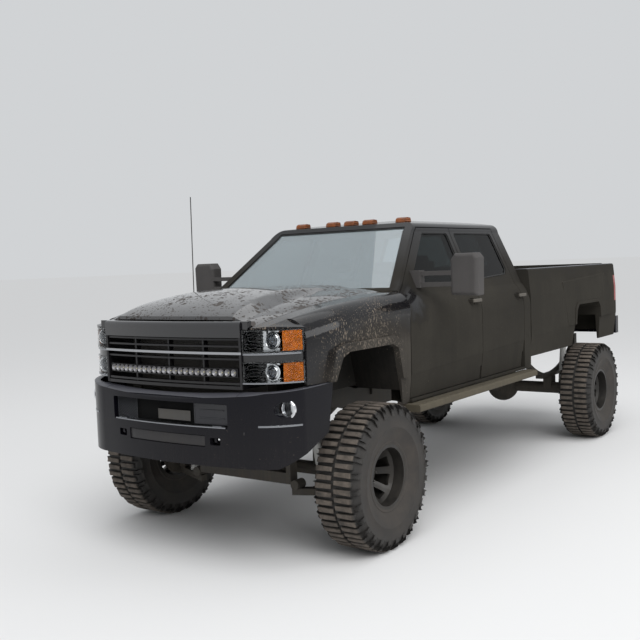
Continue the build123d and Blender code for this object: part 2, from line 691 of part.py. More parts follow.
def nose_wire(station, side_y, shoulder_drop, base_z):
    """The outline of the fender's nose at a station, from its flat base to its rounded top."""
    top_y = hood_half_width(station) + HOOD_SIDE_GAP
    top_z = hood_edge_z(station) - shoulder_drop
    points = [(top_y, base_z), (top_y, top_z), (top_y + 90, top_z - 4),
              (side_y - 45, max(base_z + 2, top_z - 40)), (side_y, base_z)]
    return Wire.make_polygon([Vector(at(station), y, z) for y, z in points], close=True)


nose_base_z = LAMP_ROWS[1][1] + 4
nose = Solid.make_loft([nose_wire(GRILLE_S + 12, 900, 4, nose_base_z),
                        nose_wire(FENDER_FRONT_S + 1, 956, 0, nose_base_z)], ruled=True)
nose = nose & (lamp_body(nose_base_z, 1800) + block((FENDER_FRONT_S - 4, FENDER_FRONT_S + 1),
                                                    (GRILLE_Y, 956), (nose_base_z, 1800)))
fender = (fender_skin + flare + nose) - opening - below_bumper - tuck
save_pair("front_fenders", fender)


# Front-end carrier with the radiator, which holds the grille and lamps
radiator = block((CARRIER_S + 20, CARRIER_S + 70), (-560, 560), (1120, 1560))
carrier_rails = [block((CARRIER_S, CARRIER_S + 90), (-640, 640), span)
                 for span in ((FRAME_END_Z + FRAME_HEIGHT, 1120), (1560, 1590))]
carrier_posts = [block((CARRIER_S, CARRIER_S + 90), span, (FRAME_END_Z + FRAME_HEIGHT, 1590))
                 for span in ((560, 640), (-640, -560))]
radiator = radiator + carrier_rails + carrier_posts
save("radiator", radiator)


# Grille: a bowed surround, bars and the painted header above them
def bowed_bar(low_z, high_z, front, back, half_width=GRILLE_Y):
    """A bar with a bowed front face, between two depths behind the grille's face."""
    bow = GRILLE_BOW
    left = Vector(at(GRILLE_S + front), half_width, low_z)
    right = Vector(at(GRILLE_S + front), -half_width, low_z)
    middle = Vector(at(GRILLE_S + front - bow), 0, low_z)
    back_left = Vector(at(GRILLE_S + back), half_width, low_z)
    back_right = Vector(at(GRILLE_S + back), -half_width, low_z)
    back_middle = Vector(at(GRILLE_S + back - bow), 0, low_z)
    outline = Wire.combine([
        Edge.make_three_point_arc(left, middle, right),
        Edge.make_line(right, back_right),
        Edge.make_three_point_arc(back_right, back_middle, back_left),
        Edge.make_line(back_left, left),
    ])[0]
    return extrude(Face(outline), amount=high_z - low_z, dir=(0, 0, 1))


HEADER_LOW_Z = 1536.0
HEADER_HIGH_Z = 1640.0
HEADER_ROUND = 26.0
# Bars as (low edge, high edge, depth of the front face, depth of the back face)
GRILLE_BARS = [
    (1205, 1226, 4, 60),
    (1234, 1248, 8, 50),
    (1392, 1404, 10, 50),
    (1428, 1444, -2, 50),
    (1474, 1486, 10, 50),
    (1518, 1530, 10, 50),
]
header = bowed_bar(HEADER_LOW_Z, HEADER_HIGH_Z, -4, HEADER_DEPTH)
front_edges = header.faces().sort_by(Axis.X)[-1].edges().sort_by(Axis.Z)
grille = fillet(front_edges[-1], HEADER_ROUND)
for low_z, high_z, front, back in GRILLE_BARS:
    grille = grille + bowed_bar(low_z, high_z, front, back)
for side in (1, -1):
    span = sorted((side * (GRILLE_Y - 18), side * GRILLE_Y))
    grille = grille + block((GRILLE_S, CARRIER_S), span, (GRILLE_BOTTOM_Z, HEADER_LOW_Z + 10))
for y in (-315, 0, 315):
    grille = grille + block((GRILLE_S - 10, GRILLE_S + 30), (y - 7, y + 7), (1210, 1560))
for side in (1, -1):
    span = sorted((side * (GRILLE_Y - 1), side * hood_half_width(GRILLE_S)))
    grille = grille + block((GRILLE_S + 10, GRILLE_S + HEADER_DEPTH), span,
                            (LAMP_ROWS[1][1] + 4, HEADER_HIGH_Z))
save("grille", grille)


# Lamp bar in the lower part of the grille
light_bar = bowed_bar(*LIGHT_BAR_HEIGHTS, 6, 60, LIGHT_BAR_Y)
save("light_bar", light_bar - grille)


# Stacked headlamps: a housing with a deep bowl for each lamp, projectors, amber ends and clear covers
def lamp_shell(low_z, high_z, front, back):
    """A layer of a lamp between two depths behind its outer face."""
    return lamp_body(low_z, high_z, front) - lamp_body(low_z - 1, high_z + 1, back)


inside_lamp = block((0, LAMP_OUTER_S + LAMP_RIM), (GRILLE_Y + LAMP_RIM + 3, 1000), (0, 2000))
cover_seat = LENS_THICKNESS + TOUCH_GAP
between_lamps = lamp_body(LAMP_ROWS[0][1], LAMP_ROWS[1][0], 14)
headlamp = between_lamps
ambers = []
covers = []
for low_z, high_z in LAMP_ROWS:
    bowl = lamp_shell(low_z + LAMP_RIM, high_z - LAMP_RIM, 0, LAMP_DEPTH) & inside_lamp
    headlamp = headlamp + (lamp_body(low_z, high_z, cover_seat) - bowl)
    amber_span = (low_z + LAMP_RIM + TOUCH_GAP, high_z - LAMP_RIM - TOUCH_GAP)
    amber = lamp_shell(*amber_span, cover_seat + TOUCH_GAP, cover_seat + AMBER_THICKNESS)
    amber_end = block((0, LAMP_OUTER_S + LAMP_RIM - TOUCH_GAP), (AMBER_Y, 1000), (0, 2000))
    ambers.append(amber & amber_end)
    covers.append(lamp_shell(low_z, high_z, 0, LENS_THICKNESS))
# Projectors as (width, height, radius, station of the front, station of the back)
PROJECTORS = [(788.0, 1310.0, 44.0, 196.0, 320.0), (788.0, 1511.0, 52.0, 206.0, 320.0)]
for y, z, radius, front_s, back_s in PROJECTORS:
    eye = rod((front_s, y, z), (back_s, y, z), radius)
    headlamp = headlamp + (eye - rod((front_s - 1, y, z), (front_s + 14, y, z), radius - 8))
headlamp = headlamp - block((CARRIER_S, 500), (0, 645), (1000, 1700))

# Fog lamps, each a round lamp seated in the bumper's corner
fog_y, fog_z = FOG_LAMP
fog_hole = rod((0, fog_y, fog_z), (300, fog_y, fog_z), FOG_RADIUS)
fog_front_s = 226.0
fog_lamp = rod((fog_front_s, fog_y, fog_z), (fog_front_s + 70, fog_y, fog_z), FOG_RADIUS - TOUCH_GAP)
fog_lamp = fog_lamp - rod((fog_front_s - 1, fog_y, fog_z), (fog_front_s + 30, fog_y, fog_z), FOG_RADIUS - 8)
fog_cover = rod((fog_front_s - cover_seat, fog_y, fog_z), (fog_front_s - TOUCH_GAP, fog_y, fog_z),
                FOG_RADIUS - TOUCH_GAP)
save("headlamps", headlamp, other_side(headlamp), fog_lamp, other_side(fog_lamp))
save("turn_lamps", *ambers, *[other_side(amber) for amber in ambers])
save("lamp_lenses", *covers, *[other_side(cover) for cover in covers], fog_cover, other_side(fog_cover))


# Front bumper: a bowed bar that wraps to the wheel openings
def bumper_plan(inset, low_z, high_z):
    """The bumper's outline from above, drawn in by an inset, between two heights."""
    end_y = 1002 - inset
    corner_y = 968 - inset
    back_s = BUMPER_END_S
    front_s = inset

    def corner(s, y):
        return Vector(at(s), y, low_z)

    outline = Wire.combine([
        Edge.make_three_point_arc(corner(front_s + 62, 640), corner(front_s, 0),
                                  corner(front_s + 62, -640)),
        Edge.make_three_point_arc(corner(front_s + 62, 640), corner(front_s + 150, 850),
                                  corner(300, corner_y)),
        Edge.make_three_point_arc(corner(front_s + 62, -640), corner(front_s + 150, -850),
                                  corner(300, -corner_y)),
        Edge.make_line(corner(300, corner_y), corner(back_s, end_y)),
        Edge.make_line(corner(300, -corner_y), corner(back_s, -end_y)),
        Edge.make_line(corner(back_s, end_y), corner(back_s, -end_y)),
    ])[0]
    return extrude(Face(outline), amount=high_z - low_z, dir=(0, 0, 1))


bumper_side = side_prism([(-5, BUMPER_BOTTOM_Z), (-5, BUMPER_TOP_Z - 20), (20, BUMPER_TOP_Z),
                          (110, 1185), (300, 1200), (BUMPER_END_S, BUMPER_TOP_Z + 62),
                          (BUMPER_END_S - 54, 895), (300, 792), (150, BUMPER_BOTTOM_Z)],
                         -1100, 1100)
bumper_cavity = bumper_plan(BUMPER_WALL, BUMPER_BOTTOM_Z - 5, 1400)
bumper = (bumper_plan(0, BUMPER_BOTTOM_Z - 5, 1400) & bumper_side) - (
    bumper_cavity & block((0, 700), (-1200, 1200), (BUMPER_BOTTOM_Z - 10, 1300)))
air_slot = block((-20, 200), (-AIR_SLOT_Y, AIR_SLOT_Y), AIR_SLOT_HEIGHTS)
air_slot = fillet(air_slot.edges().filter_by(Axis.X), 14)
lower_step = bumper_plan(-1, *STEP_HEIGHTS) - bumper_plan(STEP_RECESS, *STEP_HEIGHTS)
lower_step = lower_step & block((-20, 60), (-STEP_PLATE_Y, STEP_PLATE_Y), STEP_HEIGHTS)
hook_y, hook_z = TOW_HOOK
hook_hole = block((-20, 150), (hook_y - 40, hook_y + 40), (hook_z - 24, hook_z + 24))
hook_hole = fillet(hook_hole.edges().filter_by(Axis.X), 10)
hook = rod((70, hook_y - 9, hook_z + 10), (70, hook_y + 9, hook_z + 10), 36)
hook = hook - rod((70, hook_y - 10, hook_z + 10), (70, hook_y + 10, hook_z + 10), 20)
bumper = bumper - air_slot - lower_step - [hook_hole, other_side(hook_hole), fog_hole, other_side(fog_hole)]
bumper_arms = [block((40, FRAME_FRONT_S), span, (FRAME_END_Z + 10, FRAME_END_Z + 60))
               for span in ((FRAME_INNER_Y, FRAME_OUTER_Y), (-FRAME_OUTER_Y, -FRAME_INNER_Y))]
bumper = bumper + bumper_arms + [hook, other_side(hook)]
bumper = bumper - block((FENDER_FRONT_S - 3, 700), (-900, 900), (1100, 1300))
save("front_bumper", bumper)


# Wheel-well liners, each an arched sheet with the inner wall beside the engine
LINER_INNER_Y = 600.0
LINER_WALL = 8.0


def shifted(points, ds, dz):
    """Moves an outline's points away from the axle and upward."""
    return [(s + math.copysign(ds, s - FRONT_AXLE_S), z + dz) for s, z in points]


liner_inner = side_prism(shifted(ARCH_OPENING[1:-1], 0, 0) + [(FRONT_AXLE_S + ARCH_REAR - 24, 1040),
                                                            (FRONT_AXLE_S - ARCH_FRONT, 1040)],
                         LINER_INNER_Y - 50, 985)
liner_outer = side_prism(shifted(ARCH_OPENING[1:-1], LINER_WALL, LINER_WALL)
                         + [(FRONT_AXLE_S + ARCH_REAR - 16, 1040), (FRONT_AXLE_S - ARCH_FRONT - 8, 1040)],
                         LINER_INNER_Y, 985)
liner_wall = side_prism([(430, 1060), (430, 1540), (1480, 1640), (1480, 1060)],
                        LINER_INNER_Y - LINER_WALL, LINER_INNER_Y)
liner = (liner_outer - liner_inner) + liner_wall
liner = liner - fender - bumper
save_pair("wheel_liners", liner)


# Cargo bed: floor, double-walled sides with wheelhouses, and front wall
BED_SECTION = [
    (BED_SIDE_Y - 22, BED_BOTTOM_Z),
    (BED_SIDE_Y, 1200),
    (BED_SIDE_Y, 1600),
    (BED_SIDE_Y - 26, BED_RAIL_Z),
    (-BED_SIDE_Y + 26, BED_RAIL_Z),
    (-BED_SIDE_Y, 1600),
    (-BED_SIDE_Y, 1200),
    (-BED_SIDE_Y + 22, BED_BOTTOM_Z),
]
BED_ARCH = [
    (REAR_AXLE_S - BED_ARCH_HALF, BED_BOTTOM_Z - 10),
    (REAR_AXLE_S - BED_ARCH_HALF + 60, BED_ARCH_TOP_Z - 60),
    (REAR_AXLE_S - BED_ARCH_HALF + 120, BED_ARCH_TOP_Z),
    (REAR_AXLE_S + BED_ARCH_HALF - 120, BED_ARCH_TOP_Z),
    (REAR_AXLE_S + BED_ARCH_HALF - 60, BED_ARCH_TOP_Z - 60),
    (REAR_AXLE_S + BED_ARCH_HALF, BED_BOTTOM_Z - 10),
]
section_wire = Wire.make_polygon([(at(BED_FRONT_S), y, z) for y, z in BED_SECTION], close=True)
section_face = Face(section_wire)
rail_corners = section_face.vertices().group_by(Axis.Z)[-1]
section_face = section_face.fillet_2d(RAIL_ROUND, rail_corners)
bed_outside = extrude(section_face, amount=BED_REAR_S - BED_FRONT_S, dir=(-1, 0, 0))


def flank_wire(y, spread):
    """The raised flank's outline round the wheel opening, widened by an amount."""
    low_z = BED_BOTTOM_Z + 9
    points = [(REAR_AXLE_S - 710 - spread, BED_RAIL_Z - 172 + spread),
              (REAR_AXLE_S + 575, BED_RAIL_Z - 120 + spread),
              (REAR_AXLE_S + 750 + spread, BED_RAIL_Z - 212 + spread),
              (REAR_AXLE_S + 820 + spread, low_z),
              (REAR_AXLE_S - 510 - spread, low_z)]
    return Wire.make_polygon([Vector(at(s), y, z) for s, z in points], close=True)


flank = Solid.make_loft([flank_wire(BED_SIDE_Y - 30, 40), flank_wire(FLANK_Y, 0)], ruled=True)
flank = flank & plan_prism([(REAR_AXLE_S - 810, BED_SIDE_Y - 30), (REAR_AXLE_S - 810, BED_SIDE_Y - 4),
                            (REAR_AXLE_S - 300, FLANK_Y), (REAR_AXLE_S + 900, FLANK_Y),
                            (REAR_AXLE_S + 900, BED_SIDE_Y - 30)], BED_BOTTOM_Z, BED_RAIL_Z)
flank_rise = FLANK_Y - BED_SIDE_Y
flank = flank & cross_prism([(y + flank_rise, z) for y, z in BED_SECTION[:4]]
                            + [(BED_SIDE_Y - 60, BED_RAIL_Z), (BED_SIDE_Y - 60, BED_BOTTOM_Z)],
                            BED_FRONT_S, BED_REAR_S)
arch_lip = side_prism([(s + math.copysign(LIP_WIDTH, s - REAR_AXLE_S),
                        z + (LIP_WIDTH if z > BED_BOTTOM_Z else 20)) for s, z in BED_ARCH],
                      BED_SIDE_Y - 60, FLANK_Y + 8, 20)
arch_lip = fillet(arch_lip.faces().sort_by(Axis.Y)[-1].edges(), 6)
bed = bed_outside + [flank, other_side(flank), arch_lip, other_side(arch_lip)] - [tuck, other_side(tuck)]
bed = bed - block((BED_FRONT_S + BED_FRONT_WALL, BED_REAR_S + 1), (-BED_INNER_Y, BED_INNER_Y),
                  (BED_FLOOR_Z, BED_RAIL_Z + 1))
bed = bed - block((BED_FRONT_S - 1, BED_REAR_S + 1),
                  (BED_SKIN - BED_SIDE_Y + 24, BED_SIDE_Y - BED_SKIN - 24),
                  (BED_BOTTOM_Z - 1, BED_FLOOR_Z - BED_FLOOR_THICKNESS))
for side in (1, -1):
    house = side_prism([(s + math.copysign(WHEELHOUSE_WALL, s - REAR_AXLE_S), z + WHEELHOUSE_WALL)
                        for s, z in BED_ARCH],
                       *sorted((side * WHEELHOUSE_Y, side * (BED_INNER_Y + 5))))
    house = house & block((BED_FRONT_S, BED_REAR_S), (-1100, 1100), (BED_FLOOR_Z - 10, BED_RAIL_Z))
    hollow = side_prism(BED_ARCH, *sorted((side * (WHEELHOUSE_Y + WHEELHOUSE_WALL), side * 1200)), 20)
    bed = bed + house - hollow
bed = bed - block((BED_REAR_S - TAILGATE_DEPTH - SHUT_GAP, BED_REAR_S + 1), (-BED_INNER_Y, BED_INNER_Y),
                  (BED_FLOOR_Z - BED_FLOOR_THICKNESS - 1, BED_RAIL_Z))
rib_heights = (FRAME_REAR_Z + FRAME_HEIGHT, BED_FLOOR_Z - BED_FLOOR_THICKNESS)
cross_ribs = [block((s, s + 60), (-900, 900), rib_heights)
              for s in (BED_FRONT_S + 260, REAR_AXLE_S - 610, REAR_AXLE_S + 690)]
bed = bed + cross_ribs
groove_span = (BED_FRONT_S + BED_FRONT_WALL + 40, BED_REAR_S - TAILGATE_DEPTH - SHUT_GAP - 40)
for y in GROOVE_YS:
    bed = bed - block(groove_span, (y - GROOVE_WIDTH / 2, y + GROOVE_WIDTH / 2),
                      (BED_FLOOR_Z - GROOVE_DEPTH, BED_FLOOR_Z + 1))

# Tail lamps in the bed's rear corners
TAIL_LAMP_LOW_Z = 1433.0
TAIL_LAMP_HIGH_Z = 1728.0
TAIL_LAMP_DEPTH = 60.0
tail_slot = block((BED_REAR_S - TAIL_LAMP_DEPTH, BED_REAR_S + 1), (905, 1100),
                  (TAIL_LAMP_LOW_Z, TAIL_LAMP_HIGH_Z))
tail_lamp = tail_slot & bed_outside
bed = bed - tail_slot - other_side(tail_slot)
save("cargo_bed", bed)
save_pair("tail_lamps", tail_lamp)

# Tailgate, a hollow-looking panel hinged along its lower edge
TAILGATE_HINGE = 14.0
TAILGATE_PIN_RADIUS = 8.0
PANEL_RECESS = 10.0
PANEL_Y = 720.0
PANEL_HEIGHTS = (1420.0, 1710.0)
CUP_Y = 120.0
CUP_HEIGHTS = (1738.0, 1826.0)
tailgate_y = BED_INNER_Y - SHUT_GAP
tailgate = block((BED_REAR_S - TAILGATE_DEPTH, BED_REAR_S), (-tailgate_y, tailgate_y),
                 (BED_FLOOR_Z, TAILGATE_TOP_Z))
low_edge = tailgate.edges().filter_by(Axis.Y).sort_by(Axis.Z)[:2].sort_by(Axis.X)[0]
tailgate = fillet(low_edge, TAILGATE_HINGE)
upper_edge = tailgate.edges().filter_by(Axis.Y).sort_by(Axis.Z)[-2:].sort_by(Axis.X)[0]
tailgate = fillet(upper_edge, TAILGATE_HINGE)
gate_panel = block((BED_REAR_S - PANEL_RECESS, BED_REAR_S + 1), (-PANEL_Y, PANEL_Y), PANEL_HEIGHTS)
gate_panel = fillet(gate_panel.edges().filter_by(Axis.X), 30)
handle_cup = block((BED_REAR_S - 24, BED_REAR_S + 1), (-CUP_Y, CUP_Y), CUP_HEIGHTS)
handle_cup = fillet(handle_cup.edges().filter_by(Axis.X), 18)
pull = block((BED_REAR_S - 30, BED_REAR_S - 2), (20 - CUP_Y, CUP_Y - 20),
             (CUP_HEIGHTS[0] + 22, CUP_HEIGHTS[1] - 8))
tailgate = tailgate - [gate_panel, handle_cup] + fillet(pull.edges().filter_by(Axis.X), 8)
pin_end = BED_INNER_Y - TOUCH_GAP
tailgate = tailgate + rod((BED_REAR_S - TAILGATE_HINGE, -pin_end, BED_FLOOR_Z + TAILGATE_HINGE),
                          (BED_REAR_S - TAILGATE_HINGE, pin_end, BED_FLOOR_Z + TAILGATE_HINGE),
                          TAILGATE_PIN_RADIUS)
save("tailgate", tailgate)


# Rear bumper with a step in its middle
REAR_BUMPER_TOP_Z = 1244.0
REAR_BUMPER_LOW_Z = 1044.0
REAR_BUMPER_Y = 1000.0
REAR_BUMPER_CORNER_Y = 820.0
REAR_BUMPER_BACK = 70.0
REAR_BUMPER_SHELF = 30.0
BUMPER_FRONT_S = BED_REAR_S + 20
BUMPER_FACE_S = OVERALL_LENGTH - REAR_BUMPER_BACK
rear_bumper = plan_prism([(BUMPER_FRONT_S, -REAR_BUMPER_Y), (BUMPER_FRONT_S, REAR_BUMPER_Y),
                          (BUMPER_FACE_S, REAR_BUMPER_Y), (OVERALL_LENGTH, REAR_BUMPER_CORNER_Y),
                          (OVERALL_LENGTH, -REAR_BUMPER_CORNER_Y), (BUMPER_FACE_S, -REAR_BUMPER_Y)],
                         REAR_BUMPER_LOW_Z, REAR_BUMPER_TOP_Z, 12)
rear_bumper = rear_bumper - block((BUMPER_FRONT_S - 1, BUMPER_FACE_S),
                                  (60 - REAR_BUMPER_Y, REAR_BUMPER_Y - 60),
                                  (REAR_BUMPER_LOW_Z - 1, REAR_BUMPER_TOP_Z - REAR_BUMPER_SHELF))
plate_seat = block((OVERALL_LENGTH - 12, OVERALL_LENGTH + 1), (-165, 165),
                   (REAR_BUMPER_LOW_Z + 28, REAR_BUMPER_TOP_Z - 36))
rear_bumper = rear_bumper - fillet(plate_seat.edges().filter_by(Axis.X), 10)
BALL_HOLE_S = OVERALL_LENGTH - 120.0
BALL_HOLE_RADIUS = 13.0
rear_bumper = rear_bumper - rod((BALL_HOLE_S, 0, REAR_BUMPER_LOW_Z), (BALL_HOLE_S, 0, REAR_BUMPER_TOP_Z + 1),
                                BALL_HOLE_RADIUS)
rear_arms = [block((FRAME_REAR_S, BUMPER_FACE_S + 5), span, (REAR_BUMPER_LOW_Z, REAR_BUMPER_LOW_Z + 60))
             for span in ((FRAME_INNER_Y, FRAME_OUTER_Y), (-FRAME_OUTER_Y, -FRAME_INNER_Y))]
save("rear_bumper", rear_bumper + rear_arms)


# Ladder frame: two rails with body mounts and spring hangers, and the members between them
RAIL_OUTLINE = [
    (FRAME_FRONT_S, FRAME_END_Z),
    (DROP_S, FRAME_END_Z),
    (DROP_S + DROP_LENGTH, FRAME_MID_Z),
    (KICK_S, FRAME_MID_Z),
    (KICK_S + KICK_LENGTH, FRAME_REAR_Z),
    (FRAME_REAR_S, FRAME_REAR_Z),
    (FRAME_REAR_S, FRAME_REAR_Z + FRAME_HEIGHT),
    (KICK_S + KICK_LENGTH - KICK_SHIFT, FRAME_REAR_Z + FRAME_HEIGHT),
    (KICK_S - KICK_SHIFT, FRAME_MID_Z + FRAME_HEIGHT),
    (DROP_S + DROP_LENGTH, FRAME_MID_Z + FRAME_HEIGHT),
    (DROP_S, FRAME_END_Z + FRAME_HEIGHT),
    (FRAME_FRONT_S, FRAME_END_Z + FRAME_HEIGHT),
]
LEAF_Y = 560.0
LEAF_WIDTH = 76.0
LEAF_REACH = 720.0
LEAF_FRONT_S = REAR_AXLE_S - LEAF_REACH
LEAF_REAR_S = REAR_AXLE_S + LEAF_REACH
LEAF_SEAT_Z = 640.0
LEAF_PACK = 34.0
LEAF_EYE_Z = 880.0
SHOCK_RADIUS = 34.0
FRONT_SHOCKS_S = (FRONT_AXLE_S - 62, FRONT_AXLE_S + 62)
SHOCK_TOP_Z = 945.0
REAR_SHOCK_TOP_Z = 990.0
frame_rail = side_prism(RAIL_OUTLINE, FRAME_INNER_Y, FRAME_OUTER_Y)
for station in BODY_MOUNTS_S:
    frame_rail = frame_rail + block((station - 45, station + 45), (FRAME_INNER_Y, FRAME_OUTER_Y + 20),
                                    (FRAME_MID_Z + 100, FLOOR_Z - FLOOR_THICKNESS))
for station in (LEAF_FRONT_S, LEAF_REAR_S):
    frame_rail = frame_rail + block((station - 35, station + 35),
                                    (FRAME_OUTER_Y, LEAF_Y + LEAF_WIDTH / 2 + 12),
                                    (LEAF_EYE_Z + 35 + TOUCH_GAP, FRAME_REAR_Z + 120))
frame_rail = frame_rail + block((FRONT_SHOCKS_S[0] - 45, FRONT_SHOCKS_S[1] + 45), (FRAME_OUTER_Y, 575),
                                (SHOCK_TOP_Z, SHOCK_TOP_Z + 60))
frame_rail = frame_rail + block((REAR_AXLE_S + 180, REAR_AXLE_S + 270), (FRAME_OUTER_Y, 690),
                                (REAR_SHOCK_TOP_Z, REAR_SHOCK_TOP_Z + 45))
save_pair("frame_rails", frame_rail)

# Members as (station, length, low edge, height)
CROSSMEMBERS = [
    (FRAME_FRONT_S + 15, 70, FRAME_END_Z + 20, 90),
    (FRONT_AXLE_S - 130, 90, FRAME_END_Z - 6, 60),
    (2150, 110, FRAME_MID_Z, 50),
    (2860, 80, FRAME_MID_Z + 120, 50),
    (KICK_S + 30, 80, FRAME_MID_Z + 122, 50),
    (REAR_AXLE_S - 230, 80, FRAME_REAR_Z + 100, 60),
    (FRAME_REAR_S - 120, 100, FRAME_REAR_Z + 30, 120),
]
members = [block((s, s + length), (-FRAME_INNER_Y, FRAME_INNER_Y), (z, z + height))
           for s, length, z, height in CROSSMEMBERS]
save("frame_crossmembers", *members)


# Engine, one plain block, and the gearbox with its transfer case
ENGINE_S = (470.0, 1240.0)
ENGINE_HALF_Y = 330.0
ENGINE_Z = FRAME_END_Z + 54
ENGINE_TOP_Z = 1500.0
BELL_S = (ENGINE_S[1], 1430.0)
BELL_RADIUS = 200.0
CASE_END_S = 1960.0
CASE_RADIUS = 105.0
TAIL_END_S = 2300.0
GEARBOX_Z = 925.0
engine = block(ENGINE_S, (-ENGINE_HALF_Y, ENGINE_HALF_Y), (ENGINE_Z, ENGINE_TOP_Z))
save("engine_block", fillet(engine.edges().filter_by(Axis.X), 60))
bell = rod((BELL_S[0], 0, GEARBOX_Z + 60), (BELL_S[1], 0, GEARBOX_Z + 60), BELL_RADIUS)
case_end = rod((BELL_S[1], 0, GEARBOX_Z), (CASE_END_S, 0, GEARBOX_Z), CASE_RADIUS)
tail = rod((CASE_END_S, 0, GEARBOX_Z), (TAIL_END_S, 0, GEARBOX_Z), GEARBOX_Z - FRAME_MID_Z - 50)
transfer = block((CASE_END_S, CASE_END_S + 180), (-60, 250), (FRAME_MID_Z + 50, GEARBOX_Z + 115))
gearbox = bell + case_end + tail + transfer
save("gearbox", gearbox)


# Front suspension: crossmember with the differential, arms, knuckles and shocks
SUSPENSION_S = (FRONT_AXLE_S - 165, FRONT_AXLE_S + 165)
ARM_PIVOT_Y = 400.0
tube_heights = (CROSS_TUBE_LOW_Z, CROSS_TUBE_HIGH_Z)
cross_tubes = [block((s - 40, s + 40), (-ARM_PIVOT_Y - 40, ARM_PIVOT_Y + 40), tube_heights)
               for s in SUSPENSION_S]
plate_span = (ARM_PIVOT_Y, ARM_PIVOT_Y + 40)
drop_plates = [block((s - 40, s + 40), span, (CROSS_TUBE_HIGH_Z, FRAME_END_Z))
               for s in SUSPENSION_S for span in (plate_span, (-plate_span[1], -plate_span[0]))]
diff = rod((FRONT_AXLE_S, -150, DIFF_Z), (FRONT_AXLE_S, 190, DIFF_Z), DIFF_RADIUS)
diff_nose = rod((FRONT_AXLE_S, 120, DIFF_Z), (FRONT_AXLE_S + 250, 120, DIFF_Z + 48), 60)
diff_arms = block(SUSPENSION_S, (-30, 60), (DIFF_Z - 72, DIFF_Z - 32))
front_suspension = cross_tubes[0] + cross_tubes[1] + drop_plates + diff + diff_nose + diff_arms
save("front_suspension", front_suspension)


def control_arm(spread, low_y, z, thickness):
    """A forked arm from two pivots on the frame to one ball joint under or over the knuckle."""
    fork = plan_prism([(FRONT_AXLE_S - spread - 30, low_y), (FRONT_AXLE_S - spread + 30, low_y),
                       (FRONT_AXLE_S, STEER_Y - 110), (FRONT_AXLE_S + spread - 30, low_y),
                       (FRONT_AXLE_S + spread + 30, low_y), (FRONT_AXLE_S + 42, STEER_Y),
                       (FRONT_AXLE_S - 42, STEER_Y)], z, z + thickness)
    joint = rod((FRONT_AXLE_S, STEER_Y, z), (FRONT_AXLE_S, STEER_Y, z + thickness), 42)
    return fork + joint


lower_arm = control_arm(165, ARM_PIVOT_Y + 40, ARM_LOW_Z - TOUCH_GAP - 48, 48)
BUSH_RADIUS = 36.0
BUSH_Y = ARM_PIVOT_Y + 40 + BUSH_RADIUS + TOUCH_GAP
lower_bush = [rod((s - 45, BUSH_Y, CROSS_TUBE_LOW_Z), (s + 45, BUSH_Y, CROSS_TUBE_LOW_Z), BUSH_RADIUS)
              for s in SUSPENSION_S]
upper_arm = control_arm(105, FRAME_OUTER_Y, ARM_HIGH_Z + TOUCH_GAP, 34)
upper_post = block((FRONT_AXLE_S - 140, FRONT_AXLE_S + 140), (FRAME_OUTER_Y - 30, FRAME_OUTER_Y + 14),
                   (ARM_HIGH_Z + TOUCH_GAP + 34, FRAME_END_Z))
save("control_arms", lower_arm + lower_bush, other_side(lower_arm + lower_bush),
     upper_arm + upper_post, other_side(upper_arm + upper_post))


def front_shock(station):
    """A shock absorber from the lower arm to its bracket on the frame."""
    return rod((station, STEER_Y - 150, ARM_LOW_Z - 30),
               (station, FRAME_OUTER_Y + 50, SHOCK_TOP_Z + 20), SHOCK_RADIUS)


arm_top = ARM_LOW_Z - TOUCH_GAP
shocks = [front_shock(s) for s in FRONT_SHOCKS_S]
shock_cut = block((500, 1500), (400, 900), (arm_top, SHOCK_TOP_Z))
shocks = [(shock & shock_cut) - upper_arm - upper_post for shock in shocks]

WHEEL_Y = TRACK / 2
HUB_Y = WHEEL_Y - HUB_FACE
knuckle = block((FRONT_AXLE_S - 42, FRONT_AXLE_S + 42), (STEER_Y - 25, STEER_Y + 38), (ARM_LOW_Z, ARM_HIGH_Z))
knuckle = knuckle + rod((FRONT_AXLE_S, STEER_Y - 25, TYRE_RADIUS),
                        (FRONT_AXLE_S, HUB_Y - TOUCH_GAP, TYRE_RADIUS), 88)
brake = rod((FRONT_AXLE_S, STEER_Y + 52, TYRE_RADIUS), (FRONT_AXLE_S, STEER_Y + 84, TYRE_RADIUS), 178)
JOINT_BORE = 62.0
JOINT_BALL = 46.0
joint_bore = rod((FRONT_AXLE_S, STEER_Y - 26, TYRE_RADIUS), (FRONT_AXLE_S, STEER_Y + 50, TYRE_RADIUS),
                 JOINT_BORE)
knuckle = knuckle + brake - joint_bore
steer_arm = block((FRONT_AXLE_S + JOINT_BORE + 2, FRONT_AXLE_S + 190), (STEER_Y - 24, STEER_Y + 8),
                  (TYRE_RADIUS - 48, TYRE_RADIUS - 8))
knuckle = knuckle + steer_arm
save("knuckle_left", knuckle)
save("knuckle_right", other_side(knuckle))

# Half shafts from the differential to the knuckles
shaft = rod((FRONT_AXLE_S, 190, DIFF_Z), (FRONT_AXLE_S, STEER_Y, TYRE_RADIUS), 24)
boots = [rod((FRONT_AXLE_S, 200, DIFF_Z), (FRONT_AXLE_S, 290, DIFF_Z - 1), 55),
         rod((FRONT_AXLE_S, STEER_Y - 135, TYRE_RADIUS), (FRONT_AXLE_S, STEER_Y - 85, TYRE_RADIUS), 48)]
half_shaft = shaft + boots + Pos(at(FRONT_AXLE_S), STEER_Y, TYRE_RADIUS) * Sphere(JOINT_BALL)
other_shaft = rod((FRONT_AXLE_S, 150, DIFF_Z), (FRONT_AXLE_S, 200, DIFF_Z), 40) + half_shaft
left_shaft = half_shaft - front_suspension
right_shaft = other_side(other_shaft) - front_suspension


